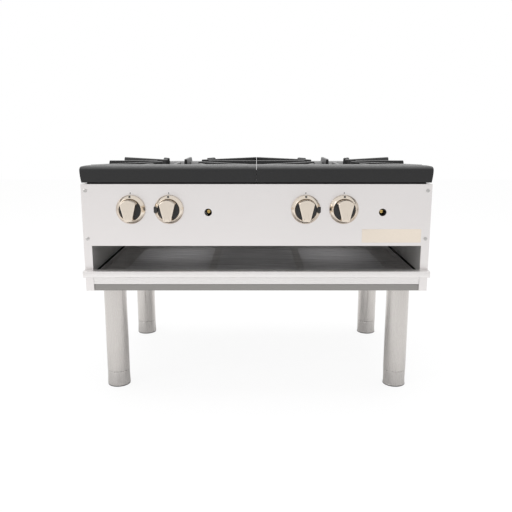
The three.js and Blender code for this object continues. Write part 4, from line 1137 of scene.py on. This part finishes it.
def make_grate(side):
    """One casting: the nose, the deck with its bowl, eight long fingers and four short ones."""
    sign = SIDES[side]
    shell = Shell()
    nose_shell(shell, sign)
    deck_shell(shell, sign)
    ends = {2: REAR_FINGER_END - BURNER_Y, 6: BURNER_Y - FRONT_FINGER_END}
    for eighth in range(8):
        finger_shell(shell, sign, eighth * math.pi / 4, FINGER_TIP, ends.get(eighth))
    for middle in (math.pi / 2, -math.pi / 2):
        for turn_by in (-22.5, 22.5):
            finger_shell(shell, sign, middle + math.radians(turn_by), *SHORT_FINGERS)
    make_piece(side + "_grate_casting", shell, IRON, side + "_grate", "cast_iron", smooth=38.0,
               replaces=side + "_top_grate")


# ------------------------------------------------------------------ burners

RING_RADII = {"outer": OUTER_RING_RADIUS, "middle": 105 * MM, "inner": 55 * MM}
RING_HALF = 12 * MM
RING_TOP = high("right_outer_burner")[2]
RING_BOTTOM = RING_TOP - 25 * MM
RING_SHOULDER = 5 * MM
PORT_COUNTS = {"outer": 64, "middle": 44, "inner": 22}
PORT_RADIUS = 2.0 * MM
PORT_DEPTH = 3.2 * MM
CROWN_HALF = 4.2 * MM
SPOKE_HALF = 8 * MM
TUBE_RADIUS = 18 * MM
TUBE_WALL = 4 * MM
BELL_RADIUS = 22 * MM
THROAT_RADIUS = 13 * MM
BELL_LENGTH = 26 * MM
TUBE_Z = centre("right_inner_knob")[2]
BURNER_FOOT = low("right_outer_burner")[2]
FOOT_HALF = 9 * MM
RAIL_OFFSET = (OUTER_RAIL_X - INNER_RAIL_X) / 2


def ring_shell(shell, axis, ring):
    """A ring with a rounded shoulder. Its ports are pits along the crown: depth = cos squared of
    the distance from the nearest port's centre, as a share of the port's radius."""
    radius = RING_RADII[ring]
    count = PORT_COUNTS[ring]
    across = np.linspace(-CROWN_HALF, CROWN_HALF, 15)
    inner, outer = radius - RING_HALF, radius + RING_HALF
    shoulder = RING_TOP - RING_SHOULDER
    profile = np.vstack([
        np.column_stack([radius + across, np.full(len(across), RING_TOP)]),
        arc((outer - RING_SHOULDER, shoulder), RING_SHOULDER, 78, 0, 5),
        [[outer, RING_BOTTOM + 1 * MM], [outer - 1 * MM, RING_BOTTOM],
         [inner + 1 * MM, RING_BOTTOM], [inner, RING_BOTTOM + 1 * MM]],
        arc((inner + RING_SHOULDER, shoulder), RING_SHOULDER, 180, 102, 5),
    ])

    def port(angle, r, h):
        step = 2 * np.pi / count
        along = ((angle + step / 2) % step - step / 2) * r
        distance = np.hypot(along, r - radius) / PORT_RADIUS
        depth = PORT_DEPTH * np.cos(np.clip(distance, 0, 1) * np.pi / 2) ** 2
        return np.where(h > RING_TOP - 0.1 * MM, depth, 0)

    shell.grid(turn(profile, count * 10, port) + [*axis, 0], wrap_rows=True)


def bar_shell(shell, start, end, half, bottom, top):
    """A straight cast bar with rounded edges, from start to end in plan."""
    ahead = (end - start) / np.linalg.norm(end - start)
    across = np.array([-ahead[1], ahead[0]])
    section = rounded([(-half, bottom), (half, bottom), (half, top), (-half, top)], 1.5 * MM, 3)
    rows = [np.column_stack([place + across * section[:, :1], section[:, 1:]]) for place in (start, end)]
    shell.grid(np.array(rows), caps=True)


def tube_shell(shell, axis, offset, ring):
    """A mixing tube turned about a line along Y: bell mouth, throat, straight run, closed end,
    and the riser that takes it up into its ring."""
    end = BURNER_Y - math.sqrt(RING_RADII[ring] ** 2 - offset ** 2) + TUBE_RADIUS / 2
    mouth = low("right_inner_burner")[1]
    length = end - mouth
    throat = THROAT_RADIUS + TUBE_WALL
    bore = TUBE_RADIUS - TUBE_WALL
    profile = np.vstack([
        [[BELL_RADIUS - 1.2 * MM, 0]],
        [[BELL_RADIUS, 0.8 * MM]],
        arc((BELL_RADIUS + 22 * MM, BELL_LENGTH), 22 * MM + BELL_RADIUS - throat, 232, 180, 8),
        np.column_stack([throat + (TUBE_RADIUS - throat) * smooth_step(np.linspace(0, 1, 6)),
                         np.linspace(BELL_LENGTH + 2 * MM, 2 * BELL_LENGTH, 6)]),
        [[TUBE_RADIUS, length - 3 * MM]],
        arc((TUBE_RADIUS - 3 * MM, length - 3 * MM), 3 * MM, 0, 90, 4),
        [[0, length], [0, length - TUBE_WALL], [bore, length - TUBE_WALL], [bore, 2 * BELL_LENGTH],
         [THROAT_RADIUS, BELL_LENGTH], [BELL_RADIUS - 3 * MM, 0.6 * MM], [BELL_RADIUS - 1.2 * MM, 0]],
    ])
    points = turn(profile, 56)
    x = axis[0] + offset
    shell.grid(spread(x + points[..., 0], mouth + points[..., 2], TUBE_Z + points[..., 1]))
    foot, top, wide = TUBE_Z + TUBE_RADIUS / 2, RING_BOTTOM + TUBE_WALL, TUBE_RADIUS - TUBE_WALL / 2
    riser = turn([[0, foot], [wide, foot], [wide, top], [0, top]], 40)
    shell.grid(riser + [x, end - TUBE_RADIUS / 2, 0])


def foot_shell(shell, place, top):
    """A square foot that stands on a burner rail."""
    half = np.array([0, FOOT_HALF])
    bar_shell(shell, place - half, place + half, FOOT_HALF, BURNER_FOOT, top)


def finish_burner(side, ring, shell, axis):
    """Adds the ring's mixing tube, in line with its knob, and makes the casting."""
    tube_shell(shell, axis, centre(f"right_{ring}_knob")[0] - BURNER_X, ring)
    make_piece(f"{side}_{ring}_casting", shell, BURNER_IRON, "cabinet", "cast_iron", smooth=35.0,
               replaces=f"{side}_{ring}_burner")


def make_outer_burner(side):
    """The outer and middle rings, joined by four spokes, on four feet."""
    axis = np.array([SIDES[side] * BURNER_X, BURNER_Y])
    shell = Shell()
    for ring in ("outer", "middle"):
        ring_shell(shell, axis, ring)
    outer, middle = RING_RADII["outer"], RING_RADII["middle"]
    for k in range(4):
        angle = (k + 0.5) * math.pi / 2
        ahead = np.array([math.cos(angle), math.sin(angle)])
        bar_shell(shell, axis + ahead * middle, axis + ahead * outer, SPOKE_HALF, RING_BOTTOM,
                  RING_TOP - RING_SHOULDER)
    reach = math.sqrt(outer ** 2 - RAIL_OFFSET ** 2)
    for a in (-1, 1):
        for b in (-1, 1):
            foot_shell(shell, axis + [a * RAIL_OFFSET, b * reach], RING_BOTTOM + RING_SHOULDER)
    finish_burner(side, "outer", shell, axis)


def make_inner_burner(side):
    """The inner ring, on two arms that reach out under the others to the burner rails."""
    axis = np.array([SIDES[side] * BURNER_X, BURNER_Y])
    inner = RING_RADII["inner"]
    arm_top = RING_BOTTOM - 3 * MM
    arm_bottom = arm_top - 2 * SPOKE_HALF
    shell = Shell()
    ring_shell(shell, axis, "inner")
    for a in (-1, 1):
        bar_shell(shell, axis + [a * inner, 0], axis + [a * RAIL_OFFSET, 0], SPOKE_HALF, arm_bottom, arm_top)
        bar_shell(shell, axis + [a * (inner - SPOKE_HALF), 0], axis + [a * (inner + SPOKE_HALF), 0],
                  SPOKE_HALF, arm_bottom, RING_BOTTOM + RING_SHOULDER)
        foot_shell(shell, axis + [a * RAIL_OFFSET, 0], arm_top)
    finish_burner(side, "inner", shell, axis)


# ------------------------------------------------------------------ stage and light

FLOOR_HALF = 7.0
KEY_WATTS, TOP_WATTS = 30, 80


def background_share(tree, seen, mirrored):
    """How white the background shows: seen to the camera, mirrored off metal or through glass."""
    path = add(tree, "ShaderNodeLightPath").outputs
    gloss = calc(tree, "MAXIMUM", path["Is Glossy Ray"], path["Is Transmission Ray"])
    return calc(tree, "MULTIPLY_ADD", gloss, mirrored, calc(tree, "MULTIPLY", path["Is Camera Ray"], seen))


def make_stage():
    """A white floor that runs far past the frame, with only the range's soft contact shadow."""
    material, tree, shader = node_tree_of("studio_floor")
    shader.inputs["Base Color"].default_value = (0.80, 0.80, 0.80, 1)
    shader.inputs["Roughness"].default_value = 0.9
    glow = add(tree, "ShaderNodeEmission", Color=(1, 1, 1, 1), Strength=1.0)
    mix = add(tree, "ShaderNodeMixShader")
    feed(tree, mix.inputs["Fac"], background_share(tree, seen=0.9, mirrored=0.25))
    feed(tree, mix.inputs[1], shader.outputs["BSDF"])
    feed(tree, mix.inputs[2], glow.outputs["Emission"])
    feed(tree, tree.nodes["Material Output"].inputs["Surface"], mix.outputs["Shader"])
    mesh = bpy.data.meshes.new("floor")
    corners = ((-1, -1), (1, -1), (1, 1), (-1, 1))
    mesh.from_pydata([(x * FLOOR_HALF, y * FLOOR_HALF, 0) for x, y in corners], [], [(0, 1, 2, 3)])
    new_object("floor", mesh, material, 30.0)


def make_world():
    """A plain studio: white to the camera and the metal, and a soft grey room that lights it."""
    world = bpy.data.worlds.new("studio")
    bpy.context.scene.world = world
    world.use_nodes = True
    tree = world.node_tree
    up = axes(tree, add(tree, "ShaderNodeTexCoord").outputs["Generated"])["Z"]
    ramp = add(tree, "ShaderNodeValToRGB")
    for stop, (place, color) in zip(ramp.color_ramp.elements, (
            (0.5, (0.86, 0.857, 0.853, 1)), (0.95, (1.12, 1.12, 1.12, 1)))):
        stop.position = place
        stop.color = color
    feed(tree, ramp.inputs["Fac"], calc(tree, "MULTIPLY_ADD", up, 0.5, 0.5))
    background = tree.nodes["Background"]
    share = background_share(tree, seen=1.0, mirrored=1.0)
    feed(tree, background.inputs["Color"], blend(tree, share, ramp.outputs["Color"], (1, 1, 1, 1)))
    background.inputs["Strength"].default_value = 1.0


def add_light(name, place, aim, size, power, mirrored=True):
    data = bpy.data.lights.new(name, "AREA")
    data.shape = "RECTANGLE"
    data.size, data.size_y = size
    data.energy = power
    light = bpy.data.objects.new(name, data)
    light.location = place
    x, y, z = np.array(aim) - np.array(place)
    light.rotation_euler = (math.atan2(math.hypot(x, y), -z), 0.0, math.atan2(-x, y))
    light.visible_glossy = mirrored
    bpy.context.scene.collection.objects.link(light)


# ------------------------------------------------------------------ making the range

dress_cabinet()
dress_gas_train()
make_name_plate()
make_index_marks()
for side in SIDES:
    for level in ("upper", "lower"):
        make_panel_screw(f"panel_screw_{side}_{level}")
    for ring in RINGS:
        make_knob(side, ring)
    for end in ENDS:
        make_leg(end, side)
        make_foot(end, side)
    make_grate(side)
    make_outer_burner(side)
    make_inner_burner(side)
make_stage()
make_world()
add_light("key", (-2.6, -2.2, 2.4), (0, 0, 0.4), (2.0, 2.0), KEY_WATTS)
add_light("top", (0.0, 0.3, 3.0), (0, 0, 0.4), (3.0, 2.0), TOP_WATTS, mirrored=False)
bpy.context.scene.view_settings.view_transform = "Standard"
